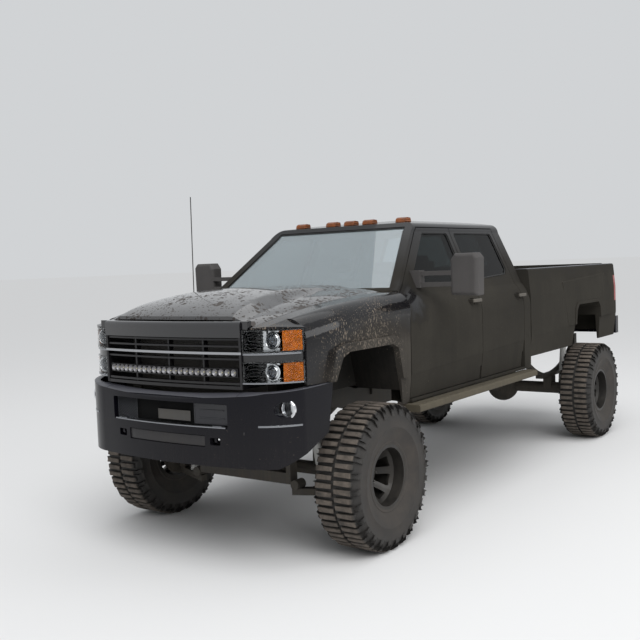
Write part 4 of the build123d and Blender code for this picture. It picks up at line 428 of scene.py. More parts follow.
def assembled(name, pieces, material, source, width=0.0, angle=30.0, segments=2):
    """Joins pieces, rounds their edges and lets the whole ride with a CAD node."""
    piece = joined(name, pieces)
    soften(piece, width, angle, segments)
    return settle(piece, name, material, source)


def copied(piece, name, move=(0.0, 0.0, 0.0), mirrored=False):
    """A copy of a piece with its own mesh, moved or mirrored across the vehicle."""
    copy = piece.copy()
    copy.data = piece.data.copy()
    copy.name = name
    bpy.context.scene.collection.objects.link(copy)
    change = Matrix.Scale(-1.0, 4, (0.0, 1.0, 0.0)) if mirrored else Matrix.Translation(move)
    copy.data.transform(change)
    if mirrored:
        copy.data.flip_normals()
    return copy


def carcass(name, centre):
    """The tyre without its lugs: beads, bulging sidewalls with moulded rings, and the tread's floor."""
    half = [(BEAD_RADIUS, BEAD_HALF), (0.224, 0.126), (0.238, 0.131), (0.246, 0.128), (0.262, 0.134),
            (0.3, 0.153), (0.34, 0.1655), (0.343, 0.168), (0.35, 0.168), (0.353, 0.1665), (0.39, 0.1705),
            (0.42, 0.169), (0.4235, 0.171), (0.43, 0.1705), (0.433, 0.167), (0.452, 0.16), (0.472, 0.149),
            (0.482, 0.138), (GROOVE_RADIUS, 0.1), (GROOVE_RADIUS + 0.001, 0.0)]
    rows = half + [(radius, -place) for radius, place in reversed(half[:-1])]
    rows += [(BEAD_RADIUS, 0.0), (BEAD_RADIUS, BEAD_HALF)]
    return turned(name, centre, "Y", rows, 112, fill=False)


def lug(centre, turn, side, is_long):
    """One block of the tread, bent down over the shoulder where it is a long one."""
    x, y, z = centre
    inner, outer = LUG_GAP, LONG_LUG if is_long else SHORT_LUG
    low, high = z + GROOVE_RADIUS - 0.006, z + TREAD_RADIUS
    piece = box_piece("lug", (x - LUG_LENGTH / 2, y + side * inner, low),
                      (x + LUG_LENGTH / 2, y + side * outer, high))
    opened(piece)
    bends = ((0.034, 0.03, 0.008), (0.0045, 0.034, 0.0)) if is_long else ((0.022, 0.012, 0.0),)
    for reach, drop, thinner in bends:
        pick(piece, "FACE", lambda place, normal: side * normal.y > 0.35 and
             side * (place.y - y) > outer - 0.004 + (0.02 if reach < 0.01 else 0.0))
        bpy.ops.mesh.extrude_region_move(TRANSFORM_OT_translate={"value": (0.0, side * reach, -drop +
                thinner)})
    pick(piece, "VERT", lambda place: side * (place.y - y) < inner + 0.001 and place.z > z + GROOVE_RADIUS)
    bpy.ops.transform.resize(value=(0.8, 1.0, 1.0), center_override=(x, y, z))
    closed()
    soften(piece, 0.0028, 30.0)
    opened(piece)
    bpy.ops.transform.rotate(value=turn, orient_axis="Y", center_override=centre)
    closed()
    return piece


def tread(name, centre):
    """One pitch of the tread, with a long and a short lug on each side, repeated round the wheel."""
    step = 2 * math.pi / (2 * LUG_PAIRS)
    lugs = [lug(centre, step * (turn + (0.5 if side < 0 else 0.0)), side, turn == 0) for side in (1, -1)
            for turn in (0, 1)]
    piece = joined(name, lugs)
    opened(piece)
    bpy.ops.mesh.spin(steps=LUG_PAIRS, dupli=True, angle=2 * math.pi, use_auto_merge=False, center=centre,
                      axis=(0.0, 1.0, 0.0))
    bpy.ops.mesh.select_all(action="SELECT")
    bpy.ops.mesh.remove_doubles(threshold=0.00002)
    closed()
    return piece


def rubber():
    """Black rubber: grey with dust on the sidewalls, tan with dried mud on the tops of the lugs."""
    material = finish("tyre_rubber", (0.012, 0.0115, 0.011), 0.75, grain=420.0, bump=0.12)
    tree = material.node_tree
    shader = tree.nodes["Principled BSDF"]
    place = own_place(tree)
    split = node(tree, "ShaderNodeSeparateXYZ", {0: place})
    reaches = [maths(tree, "ABSOLUTE", maths(tree, "SUBTRACT", split.outputs["X"], axle_x))
               for axle_x in (FRONT_AXLE_X, REAR_AXLE_X)]
    nearest = maths(tree, "MINIMUM", *reaches)
    rise = maths(tree, "SUBTRACT", split.outputs["Z"], AXLE_Z)
    radius = maths(tree, "SQRT", maths(tree, "ADD", maths(tree, "POWER", nearest, 2.0),
                                       times(tree, rise, rise)))
    tops = ramp(tree, radius, GROOVE_RADIUS + 0.008, TREAD_RADIUS - 0.001)
    patches = ramp(tree, noise(tree, place, 16.0, 5.0, 0.7), 0.3, 0.62, 0.25, 1.0)
    wall = ramp(tree, radius, 0.46, 0.3, 0.12, 0.4)
    film = times(tree, wall, ramp(tree, noise(tree, place, 7.0, 6.0, 0.7), 0.35, 0.7, 0.3, 1.0))
    mud = times(tree, tops, patches)
    amount = maths(tree, "MAXIMUM", mud, film)
    color = shader.inputs["Base Color"].links[0].from_socket
    feed(tree, blended(tree, times(tree, amount, 0.62), color, (0.2, 0.165, 0.135)),
         shader.inputs["Base Color"])
    feed(tree, ramp(tree, amount, 0.0, 0.5, 0.62, 0.92), shader.inputs["Roughness"])
    return material


tyre_rubber = rubber()
first_centre = (FRONT_AXLE_X, middle_of("tyre_front_left", 1), AXLE_Z)
first_tyre = joined("tyre", [carcass("carcass", first_centre), tread("tread", first_centre)])
soften(first_tyre, 0.0, 40.0)
for axle, axle_x in (("front", FRONT_AXLE_X), ("rear", REAR_AXLE_X)):
    for side, sign in SIDES:
        name = f"tyre_{axle}_{side}"
        piece = copied(first_tyre, f"{name}_finished", mirrored=sign < 0)
        piece.data.transform(Matrix.Translation((axle_x - FRONT_AXLE_X, 0.0, 0.0)))
        settle(piece, f"{name}_finished", tyre_rubber, name, True)
bpy.data.objects.remove(first_tyre)

# Rims: cast alloy painted satin black, each with eight spokes, a bare hub and eight nuts on its studs.
# Dust lies in the dish, and a round cap with a plain face covers the hub's bore.
NUT_RADIUS = 0.0135
NUT_CIRCLE = 0.0825
NUT_COUNT = 8
HUB_DEPTH = 0.065
rim_paint = finish("rim_alloy", (0.018, 0.018, 0.019), 0.34, metallic=0.6, coat=0.3, dust=(0.5, 1.4, 0.2))
nut_metal = finish("nut_metal", (0.22, 0.21, 0.2), 0.35, metallic=0.9, rusting=0.3, dust=(0.3, 1.4, 0.2))
for axle, axle_x in (("front", FRONT_AXLE_X), ("rear", REAR_AXLE_X)):
    for side, sign in SIDES:
        name = f"rim_{axle}_{side}"
        refined(name, rim_paint, 0.0025)
        face_y = middle_of(name, 1) - sign * HUB_DEPTH
        nuts = []
        for turn in range(NUT_COUNT):
            angle = 2 * math.pi * turn / NUT_COUNT
            centre = (axle_x + NUT_CIRCLE * math.cos(angle), face_y, AXLE_Z + NUT_CIRCLE * math.sin(angle))
            nuts.append(turned("nut", centre, "Y", [(NUT_RADIUS, -sign * 0.003), (NUT_RADIUS, sign * 0.02),
                    (NUT_RADIUS * 0.8, sign * 0.024), (0.007, sign * 0.024), (0.007, sign * 0.034),
                    (0.005, sign * 0.036)], 6))
        cap = turned("cap", (axle_x, face_y, AXLE_Z), "Y", [(0.062, -sign * 0.004), (0.062, sign * 0.03),
                (0.057, sign * 0.038), (0.045, sign * 0.046), (0.043, sign * 0.044), (0.012, sign * 0.047)],
                     40)
        soften(cap, 0.0, 30.0)
        nuts = joined(f"wheel_nuts_{axle}_{side}", nuts)
        settle(nuts, nuts.name, nut_metal, name)
        settle(cap, f"hub_cap_{axle}_{side}", rim_paint, name)


# Shock absorbers: steel tubes and rods painted white, pinned between the suspension and the frame.
# Splashed mud has dried on them, and stones have chipped the paint down to rust.
shock_white = finish("shock_paint", (0.62, 0.62, 0.6), 0.35, coat=0.3, dust=(0.5, 1.4, 0.3), splash=0.5,
                     drops=90.0, rusting=0.12)
refined("shock_absorbers", shock_white, 0.002)

# Wheel-well liners: moulded black plastic sheets, clipped inside the fenders.
# Mud from the tyres has dried on them.
liner_plastic = finish("liner_plastic", (0.008, 0.008, 0.008), 0.7, specular=0.2, dust=(0.35, 1.6, 0.9),
                       splash=0.4, drops=40.0)
refined("wheel_liners", liner_plastic, 0.0)

# Cab shell, doors, fenders, bed and tailgate: pressed steel in gloss black under a clear coat.
# The wheels have thrown mud up the flanks and left them dull with dry dust. The roof edge stays shiny.
# Where the fenders' dust is thickest, as (x, z, near, far)
FENDER_DUSTY = (2.1, 0.6, 0.9, 1.13)
FLANK_DUST = (0.05, 0.0455, 0.037)
# A darker, glossier patch behind each mirror's foot, where the dust thins out, as (x, y, z, radius)
DARK_GLOSS_PATCH = (1.6, 0.97, 1.69, 0.16)
flank_paint = finish("flank_paint", (0.004, 0.004, 0.0055), 0.13, coat=0.5, specular=0.1,
                     dust=(0.85, 2.25, 1.7), streaks=0.14, even=0.5, splash=0.2, drops=70.0, stretch=0.3,
                     dust_color=FLANK_DUST, dark_gloss=DARK_GLOSS_PATCH)
fender_paint = finish("fender_paint", (0.004, 0.004, 0.0055), 0.1, coat=0.6, specular=0.1,
                      dust=(0.95, 2.2, 1.6), streaks=0.25, even=0.5, splash=0.8, drops=135.0, stretch=0.38,
                      dust_color=(0.07, 0.063, 0.054), fade=FENDER_DUSTY)
bed_paint = finish("bed_paint", (0.005, 0.005, 0.006), 0.2, coat=0.4, specular=0.1, dust=(0.9, 2.4, 1.7),
                   streaks=0.14, even=0.5, splash=0.2, drops=70.0, stretch=0.3, dust_color=FLANK_DUST)
# The outer face of the door handles, as (y, lowest z, highest z)
HANDLE = (1.0345, 1.59, 1.67)
handle_paint = finish("handle_paint", (0.01, 0.01, 0.01), 0.35, dust=(0.9, 2.4, 1.6), even=0.6,
                      dust_color=(0.15, 0.135, 0.115))


def mark(piece, material, test):
    """Gives a second material to the faces of a piece that pass a test."""
    piece.data.materials.append(material)
    for face in piece.data.polygons:
        if test(face.center, face.normal):
            face.material_index = len(piece.data.materials) - 1


for side in ("left", "right"):
    for axle in ("front", "rear"):
        door = refined(f"door_{axle}_{side}", flank_paint, 0.002)
        mark(door, handle_paint, lambda place, normal: abs(place.y) > HANDLE[0] and
             HANDLE[1] < place.z < HANDLE[2])
refined("cab_shell", flank_paint, 0.003)
refined("front_fenders", fender_paint, 0.002)
refined("cargo_bed", bed_paint, 0.003, flatten=False)
refined("tailgate", bed_paint, 0.003)

# Hood: one pressed panel with a raised middle, the cleanest panel of the body.
# Sky shows in its clear coat between dried splashes of mud.
hood_paint = finish("hood_paint", (0.004, 0.004, 0.0055), 0.08, coat=1.0, specular=1.0,
                    dust=(0.25, 2.9, 1.2), streaks=0.0, splash=1.3, drops=42.0,
                    dust_color=(0.16, 0.15, 0.15), mud_color=(0.045, 0.036, 0.03))
refined("hood", hood_paint, 0.004, 3)

# Windshield, door glass and rear window: tinted safety glass in black rubber channels.
# The rear doors' glass has a darker privacy tint. The windshield and rear window, which are one piece, get a
# pale blue-grey that lets only part of the light through: a painted reflection of the sky.
GASKET = 0.012


def clear(name, tint, rough=0.015, ior=1.45, through=1.0):
    """See-through glass or plastic with a tint, darker where it is filmed with dust."""
    material, tree, shader = new_material(name)
    shader.inputs["Transmission Weight"].default_value = through
    shader.inputs["IOR"].default_value = ior
    feed(tree, ramp(tree, noise(tree, own_place(tree), 9.0, 6.0, 0.7), 0.45, 0.8, rough, rough + 0.05),
         shader.inputs["Roughness"])
    fog = ramp(tree, noise(tree, own_place(tree), 3.0, 7.0, 0.65), 0.35, 0.75, 0.0, 0.16)
    feed(tree, blended(tree, fog, tint, tuple(0.55 * c for c in tint)), shader.inputs["Base Color"])
    return material


def gasket(source, name, test):
    """The rubber channel round a pane, grown from the rim of its outer face."""
    piece = merged_copy(source, name)
    pick(piece, "FACE", lambda place, normal: not test(place, normal))
    bpy.ops.mesh.delete(type="FACE")
    bpy.ops.mesh.select_all(action="SELECT")
    bpy.ops.mesh.inset(thickness=GASKET, use_boundary=True)
    bpy.ops.mesh.delete(type="FACE")
    closed()
    modify(piece, "SOLIDIFY", thickness=0.007, offset=1.0)
    soften(piece, 0.0015, 40.0)
    return settle(piece, name, window_rubber, source)


# Pale blue-grey, partly opaque glass: a painted sky reflection on the windshield and rear window.
screen_glass_painted_sky = clear("windshield_glass_painted_sky", (0.58, 0.68, 0.72), 0.01, 2.0, 0.72)
door_glass = clear("door_glass", (0.055, 0.07, 0.068), 0.01, 1.18)
privacy_glass = clear("privacy_glass", (0.03, 0.034, 0.034), 0.01, 1.18)
window_rubber = finish("window_rubber", (0.008, 0.008, 0.008), 0.6, dust=(0.15, 1.9, 0.8))
refined("cab_glass", screen_glass_painted_sky, 0.0)
gasket("cab_glass", "windshield_gasket", lambda place, normal: normal.x > 0.45)
gasket("cab_glass", "rear_window_gasket", lambda place, normal: normal.x < -0.6)
for side, sign in SIDES:
    refined(f"glass_front_{side}", door_glass, 0.0)
    refined(f"glass_rear_{side}", privacy_glass, 0.0)
    for axle in ("front", "rear"):
        gasket(f"glass_{axle}_{side}", f"window_gasket_{axle}_{side}",
               lambda place, normal: sign * normal.y > 0.6)

# Grille: a moulded black surround with thin bars, a gloss black header above and one bright bar.
# The place in its middle is left bare.
BRIGHT_BAR = (1.4275, 1.4445)
HEADER_LOW = 1.5335
grille_black = finish("grille_black", (0.006, 0.006, 0.008), 0.3, coat=0.3, specular=0.3,
                      dust=(0.1, 2.4, 0.8))
bright_trim = finish("bright_trim", (0.5, 0.51, 0.53), 0.12, metallic=1.0, dust=(0.1, 2.4, 0.8), grain=90.0,
                     variation=0.04, bump=0.01)
header_paint = finish("header_paint", (0.004, 0.004, 0.006), 0.1, coat=1.0, specular=0.6,
                      dust=(0.05, 2.4, 1.0), streaks=0.0)
grille = refined("grille", grille_black, 0.0015)
mark(grille, header_paint, lambda place, normal: place.z > HEADER_LOW)
mark(grille, bright_trim, lambda place, normal: BRIGHT_BAR[0] < place.z < BRIGHT_BAR[1] and normal.x > 0.3)

# Light bar: an extruded black housing bolted behind the lower grille.
# It holds a row of small pressed reflector cups, each with a yellow diode at its bottom.
CUP_COUNT = 24
CUP_SPAN = 1.12
CUP_RADIUS = 0.0225
BAR_MIDDLE = middle_of("light_bar", 2)
BAR_BOW = 0.045
BAR_HALF = 0.63


def bowed_x(front_x, y):
    """The place of a bowed front face at a distance from the middle."""
    return front_x - BAR_BOW * (y / BAR_HALF) ** 2


bar = merged_copy("light_bar", "light_bar_housing")
pick(bar, "FACE", lambda place, normal: normal.x > 0.7)
bpy.ops.mesh.inset(thickness=0.005, use_boundary=True)
bpy.ops.mesh.extrude_region_move(TRANSFORM_OT_translate={"value": (-0.024, 0.0, 0.0)})
closed()
soften(bar, 0.001, 40.0)
settle(bar, "light_bar_housing", grille_black, "light_bar", stands_for=True)
chrome = finish("chrome", (0.72, 0.73, 0.75), 0.06, metallic=1.0, grain=60.0, variation=0.02, bump=0.0)
cup_metal = finish("cup_metal", (0.34, 0.34, 0.36), 0.22, metallic=1.0, grain=60.0, variation=0.3, bump=0.0,
                   dust=(0.5, 2.4, 1.3))
diode = finish("diode", (0.6, 0.55, 0.36), 0.4)
cups, chips = [], []
for index in range(CUP_COUNT):
    y = CUP_SPAN * (index / (CUP_COUNT - 1) - 0.5)
    centre = (bowed_x(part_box("light_bar")[1][0], y) - 0.004, y, BAR_MIDDLE)
    cups.append(turned("cup", centre, "X", [(CUP_RADIUS, -0.019), (CUP_RADIUS, 0.0),
            (CUP_RADIUS - 0.0015, 0.0), (0.014, -0.009), (0.007, -0.013), (0.006, -0.0135)], 20))
    chips.append(turned("chip", centre, "X", [(0.0045, -0.0134), (0.0045, -0.0105), (0.003, -0.0095)], 8))
assembled("light_bar_reflectors", cups, cup_metal, "light_bar")
settle(joined("light_bar_diodes", chips), "light_bar_diodes", diode, "light_bar")

# Headlamps: a housing with two deep bowls on each side, one above the other, under clear covers.
# Each bowl holds a round projector in a bright ring, fins at its inner end and an amber lamp outside.
LAMP_Y = 0.788
# Rows as (height, radius of the projector, front of the projector, width of its outer ring)
LAMP_ROWS = [(1.31, 0.044, 3.089, 0.013), (1.511, 0.052, 3.079, 0.006)]
FIN_WIDTHS = (0.648, 0.725)
FIN_X = (3.1, 3.155)
FIN_COUNT = 5
FIN_STEP = 0.022
FIN_THICKNESS = 0.004
lamp_housing = finish("lamp_housing", (0.012, 0.012, 0.013), 0.25, coat=0.5, grain=80.0, bump=0.01)
lens_dark = finish("projector_lens", (0.03, 0.035, 0.045), 0.04, coat=1.0, grain=30.0, bump=0.0)
ring_white = finish("lamp_ring", (0.82, 0.84, 0.86), 0.25, grain=60.0, variation=0.03, bump=0.01)
cover_clear = clear("lamp_cover", (0.95, 0.96, 0.96), 0.01, 1.1)


def fluted(name, color, pitch):
    """A moulded lamp lens in one colour, with upright flutes and a grid of small prisms, whose peaks carry a
    painted glint in a lighter colour.
    """
    material = finish(name, color, 0.16, coat=0.15, specular=0.2, grain=40.0)
    tree = material.node_tree
    shader = tree.nodes["Principled BSDF"]
    place = own_place(tree, (pitch, pitch, pitch))
    split = node(tree, "ShaderNodeSeparateXYZ", {0: place})
    waves = [maths(tree, "SINE", split.outputs[axis]) for axis in ("Y", "Z")]
    cells = times(tree, waves[0], waves[1])
    base = shader.inputs["Base Color"].links[0].from_socket
    shade = ramp(tree, cells, -0.6, 0.8, 0.0, 0.6)
    broad = ramp(tree, noise(tree, own_place(tree), 26.0, 2.0, 0.5), 0.35, 0.65, 0.0, 0.5)
    dark = tuple(0.3 * c for c in color)
    # Painted glint: the colour turns lighter on the prisms' peaks.
    base = blended(tree, shade, base, tuple(min(1.0, 1.9 * c) for c in color))
    feed(tree, blended(tree, broad, base, dark), shader.inputs["Base Color"])
    relief = next(n for n in tree.nodes if n.type == "BUMP")
    relief.inputs["Strength"].default_value = 0.5
    feed(tree, cells, relief.inputs["Height"])
    return material


amber_lens = fluted("amber_lens", (0.42, 0.1, 0.002), 520.0)
housing = refined("headlamps", lamp_housing, 0.0015)
mark(housing, chrome, lambda place, normal: any(abs(math.hypot(abs(place.y) - LAMP_Y,
        place.z - z) - radius) < 0.0095 and place.x < front + 0.004 for z, radius, front, ring in LAMP_ROWS))
lenses, rings, whites, fins = [], [], [], []
for sign in (1, -1):
    for z, radius, front, ring in LAMP_ROWS:
        centre = (front, sign * LAMP_Y, z)
        eye = radius - 0.0085
        lenses.append(turned("eye", centre, "X", [(eye, -0.0135), (eye, -0.006), (eye * 0.93, 0.001),
                (eye * 0.75, 0.0075), (eye * 0.48, 0.0115), (eye * 0.2, 0.013)], 40))
        rings.append(turned("ring", centre, "X", [(radius - 0.008, -0.012), (radius - 0.007, 0.002),
                (radius - 0.004, 0.005), (radius, 0.003), (radius + 0.003, -0.004), (radius + 0.003, -0.012),
                (radius - 0.008, -0.012)], 48, False))
        whites.append(turned("halo", centre, "X", [(radius + 0.004, -0.012), (radius + 0.005, -0.004),
                (radius + ring - 0.001, -0.004), (radius + ring, -0.012), (radius + 0.004, -0.012)], 48,
                             False))
        for index in range(FIN_COUNT):
            fin_z = z + FIN_STEP * (index - (FIN_COUNT - 1) / 2)
            fin = box_piece("fin", (FIN_X[0], sign * FIN_WIDTHS[0], fin_z),
                            (FIN_X[1], sign * FIN_WIDTHS[1], fin_z + FIN_THICKNESS))
            opened(fin)
            pick(fin, "VERT", lambda place: place.x > FIN_X[1] - 0.001 and
                 sign * place.y > FIN_WIDTHS[1] - 0.001)
            bpy.ops.transform.translate(value=(-0.03, 0.0, 0.0))
            closed()
            fins.append(fin)
assembled("projector_lenses", lenses, lens_dark, "headlamps", 0.0, 50.0)
assembled("lamp_rings", rings, chrome, "headlamps", 0.0, 50.0)
assembled("lamp_halos", whites, ring_white, "headlamps", 0.0, 50.0)
assembled("lamp_fins", fins, grille_black, "headlamps", 0.0008)
refined("turn_lamps", amber_lens, 0.0015)
refined("lamp_lenses", cover_clear, 0.0)

# Fog lamps: round lamps seated in the bumper's corners, each in a bright ring behind a clear cover.
# The middle of the left lamp, as (x, y, z)
FOG = (3.059, 0.885, 1.08)
FOG_RADIUS = 0.05
parts = []
for sign in (1, -1):
    centre = (FOG[0], sign * FOG[1], FOG[2])
    parts.append(turned("bowl", centre, "X", [(0.0418, -0.002), (0.0418, -0.004), (0.036, -0.012),
            (0.022, -0.022), (0.008, -0.026), (0.007, -0.02), (0.006, -0.012)], 40))
    parts.append(turned("bezel", centre, "X", [(FOG_RADIUS - 0.009, 0.0045), (FOG_RADIUS - 0.004, 0.0125),
            (FOG_RADIUS + 0.007, 0.0135), (FOG_RADIUS + 0.012, 0.009), (FOG_RADIUS + 0.012, 0.0),
            (FOG_RADIUS - 0.009, 0.0), (FOG_RADIUS - 0.009, 0.0045)], 48, False))
assembled("fog_lamp_reflectors", parts, chrome, "headlamps", 0.0, 40.0)


# Thin trim on lamps and bumper: satin strips and plates that follow the curve behind them.
# Each is clipped on, and stands a few millimetres off its carrier.
satin_trim = finish("satin_trim", (0.3, 0.31, 0.33), 0.22, metallic=1.0, dust=(0.15, 1.6, 0.6), grain=90.0,
                    variation=0.04, bump=0.01)


def skin(source, name, material, facing, cuts, thickness, width=0.0008):
    """A thin piece laid over part of a CAD node: the faces that pass a test, cut by planes and given a wall.
    Each plane is a (place, direction) pair, and what lies on the side of its direction is kept."""
    piece = merged_copy(source, name, flatten=False)
    pick(piece, "FACE", lambda place, normal: not facing(place, normal))
    bpy.ops.mesh.delete(type="FACE")
    for place, direction in cuts:
        bpy.ops.mesh.select_all(action="SELECT")
        bpy.ops.mesh.bisect(plane_co=place, plane_no=direction, clear_inner=True)
    bpy.ops.mesh.select_all(action="SELECT")
    bpy.ops.mesh.dissolve_limited(angle_limit=math.radians(0.6))
    modify(piece, "SOLIDIFY", thickness=thickness, offset=1.0)
    soften(piece, width, 40.0)
    return settle(piece, name, material, source)


def between(axis, near, far):
    """The pair of planes that keep what lies between two places along an axis."""
    along = Vector([float(axis == letter) for letter in "XYZ"])
    inward = math.copysign(1.0, far - near) * along
    return [(near * along, inward), (far * along, -inward)]


UPPER_TRIM_Z, LOWER_TRIM_Z = (1.424, 1.4365), (1.241, 1.2515)
TRIM_INNER_Y = 0.63
UPPER_FACE_Z = (1.37, 1.45)
for side, sign in SIDES:
    skin("headlamps", f"lamp_trim_upper_{side}", satin_trim,
         lambda place, normal: sign * place.y > TRIM_INNER_Y and
         UPPER_FACE_Z[0] < place.z < UPPER_FACE_Z[1] and place.x > 2.97 and normal.x + sign * normal.y > 0.5,
         between("Z", *UPPER_TRIM_Z), 0.008)
    skin("lamp_lenses", f"lamp_trim_lower_{side}", satin_trim,
         lambda place, normal: sign * place.y > TRIM_INNER_Y and place.z < 1.4 and place.x > 2.96 and
         abs(normal.z) < 0.3 and normal.x + sign * normal.y > 0.5, between("Z", *LOWER_TRIM_Z), 0.003)

# Front bumper: pressed steel in satin black, with a textured plastic step pad in three parts on top, whose
# light bluish grey is a painted sheen of the sky.
# Its wide slot holds a mesh, a bare plate and a ribbed panel, with flat dark sheets behind them as painted
# shade. Four sensor buttons sit in its face.
SLOT_Z = (0.956, 1.114)
BUMPER_RADIUS = 3.334
PAD_LOW_Z = 1.149
PAD_SEAM_Y, PAD_SEAM = 0.6, 0.004
GARNISH_HALF = 0.512
STEP_PLATE_Z = (0.835, 0.901)
FOG_TRIM_Z, FOG_TRIM_Y = (0.972, 0.984), (0.745, 0.955)
FRONT_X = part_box("front_bumper")[1][0]
# Farther out than any face of the bumper
BEYOND = 2.0
INSERT_BACK = 0.04
bumper_black = finish("bumper_black", (0.003, 0.003, 0.006), 0.22, coat=0.22, specular=0.1,
                      dust=(0.1, 1.2, 0.6), streaks=0.2, splash=0.25, drops=80.0)
# Light bluish grey: a painted sheen of the sky on the pad's upward faces.
pad_plastic_painted_sheen = finish("pad_plastic_painted_sheen", (0.06, 0.062, 0.075), 0.35, specular=0.6, dust=(0.2, 1.6, 0.7),
                     streaks=0.0, grain=700.0, bump=0.1)
refined("front_bumper", bumper_black, 0.003)
for name, cuts in (("middle", between("Y", -PAD_SEAM_Y, PAD_SEAM_Y)),
                   ("left", between("Y", PAD_SEAM_Y + PAD_SEAM, BEYOND)),
                   ("right", between("Y", -PAD_SEAM_Y - PAD_SEAM, -BEYOND))):
    skin("front_bumper", f"bumper_pad_{name}", pad_plastic_painted_sheen, lambda place, normal: normal.z > 0.35 and
         place.z > 1.1 and place.x > 2.6, between("Z", PAD_LOW_Z, BEYOND) + cuts, 0.004, 0.0015)
skin("front_bumper", "slot_garnish", satin_trim, lambda place, normal: normal.z > 0.8 and
     abs(place.z - SLOT_Z[0]) < 0.004 and place.x > 3.1 and abs(place.y) < 0.54,
     between("Y", -GARNISH_HALF, GARNISH_HALF), 0.008)
step_plate = finish("step_plate", (0.03, 0.03, 0.034), 0.3, metallic=0.6, dust=(0.3, 1.6, 0.6))
skin("front_bumper", "step_plate", step_plate, lambda place, normal: normal.x > 0.7 and
     0.83 < place.z < 0.906 and abs(place.y) < 0.351 and place.x > 3.2, between("Z", *STEP_PLATE_Z), 0.007,
     0.002)
for side, sign in SIDES:
    skin("front_bumper", f"fog_trim_{side}", satin_trim, lambda place, normal: sign * place.y > 0.66 and
         0.7 < place.z < 1.15 and place.x > 2.9 and normal.x > 0.2 and abs(normal.z) < 0.3,
         between("Z", *FOG_TRIM_Z) + between("Y", sign * FOG_TRIM_Y[0], sign * FOG_TRIM_Y[1]), 0.003)


def on_bow(y):
    """The x of the bumper's slot inserts and the turn of its face at a distance from the middle."""
    return FRONT_X - BUMPER_RADIUS + math.sqrt(BUMPER_RADIUS ** 2 - y * y), math.asin(y / BUMPER_RADIUS)


def turn_to_bow(piece, y):
    """Turns a piece about an upright line so that it lies along the bumper's face."""
    x, turn = on_bow(y)
    opened(piece)
    bpy.ops.transform.rotate(value=-turn, orient_axis="Z", center_override=(x - INSERT_BACK, y, 1.0))
    closed()


def framed_panel(name, y, half, low, high, rim, material, ribs=()):
    """A pressed panel with a raised rim, and raised ribs across it."""
    x = on_bow(y)[0] - INSERT_BACK
    panel = box_piece(name, (x - 0.004, y - half, low), (x, y + half, high))
    opened(panel)
    pick(panel, "FACE", lambda place, normal: normal.x > 0.9)
    bpy.ops.mesh.inset(thickness=rim)
    bpy.ops.mesh.extrude_region_move(TRANSFORM_OT_translate={"value": (-0.0025, 0.0, 0.0)})
    closed()
    bars = [box_piece("rib", (x - 0.003, y - 0.7 * half, z - 0.004), (x + 0.001, y + 0.7 * half, z + 0.004))
            for z in ribs]
    panel = joined(name, [panel] + bars)
    soften(panel, 0.0012, 30.0)
    turn_to_bow(panel, y)
    return settle(panel, name, material, "front_bumper")


# Half the height and half the width of the mesh, drawn flat before it is stood up
MESH_HALF = (0.075, 0.112)
mesh_y = -0.415
mesh_x = on_bow(mesh_y)[0] - INSERT_BACK
bpy.ops.object.select_all(action="DESELECT")
bpy.ops.mesh.primitive_grid_add(x_subdivisions=22, y_subdivisions=22, size=0.33, location=(0.0, 0.0, 0.0),
                                rotation=(0.0, 0.0, math.radians(45.0)))
mesh_panel = bpy.context.active_object
bpy.ops.object.transform_apply(location=True, rotation=True, scale=True)
opened(mesh_panel)
for place, direction in between("X", -MESH_HALF[0], MESH_HALF[0]) + between("Y", -MESH_HALF[1],
        MESH_HALF[1]):
    bpy.ops.mesh.select_all(action="SELECT")
    bpy.ops.mesh.bisect(plane_co=place, plane_no=direction, clear_inner=True)
bpy.ops.mesh.select_all(action="SELECT")
bpy.ops.transform.rotate(value=math.radians(90.0), orient_axis="Y", center_override=(0.0, 0.0, 0.0))
bpy.ops.transform.translate(value=(mesh_x, mesh_y, (SLOT_Z[0] + SLOT_Z[1]) / 2 + 0.004))
closed()
modify(mesh_panel, "WIREFRAME", thickness=0.0035, use_replace=True, use_boundary=True)
turn_to_bow(mesh_panel, mesh_y)
settle(mesh_panel, "slot_mesh", finish("slot_mesh", (0.05, 0.055, 0.065), 0.35, metallic=0.7,
                                       dust=(0.4, 1.6, 0.6)), "front_bumper")
# Flat dark sheets behind the slot's inserts: painted shade standing for the bumper's dark hollow behind
# them.
shade_sheets = []
for y in (-0.405, -0.135, 0.135, 0.405):
    x = on_bow(y)[0] - INSERT_BACK
    board = box_piece("board", (x - 0.022, y - 0.138, SLOT_Z[0] - 0.012),
                      (x - 0.014, y + 0.138, SLOT_Z[1] + 0.012))
    turn_to_bow(board, y)
    shade_sheets.append(board)
painted_slot_shade = finish("painted_slot_shade", (0.004, 0.004, 0.004), 0.8, specular=0.1)
assembled("slot_shade_sheets", shade_sheets, painted_slot_shade, "front_bumper", 0.001)
blank_metal = finish("blank_plate", (0.075, 0.075, 0.075), 0.5, metallic=0.3, dust=(0.5, 1.8, 1.2))
ribbed_plastic = finish("ribbed_plastic", (0.012, 0.013, 0.018), 0.35, dust=(0.15, 1.6, 0.7))
framed_panel("blank_plate", y=0.06, half=0.146, low=0.984, high=1.052, rim=0.006, material=blank_metal)
framed_panel("ribbed_panel", y=0.378, half=0.14, low=0.97, high=1.106, rim=0.008, material=ribbed_plastic,
             ribs=(1.012, 1.064))
# The sensor buttons, as (y, z)
BUTTON_PLACES = ((-0.64, 0.93), (-0.25, 1.128), (0.25, 1.128), (0.64, 0.93))
buttons = []
for y, z in BUTTON_PLACES:
    x = on_bow(y)[0] - (0.001 if z < 1.0 else 0.0045)
    buttons.append(turned("button", (x, y, z), "X", [(0.0135, -0.008), (0.0135, -0.001), (0.012, 0.0005),
            (0.0105, 0.0002), (0.004, 0.0008)], 24))
assembled("sensor_buttons", buttons, grille_black, "front_bumper", 0.0, 40.0)

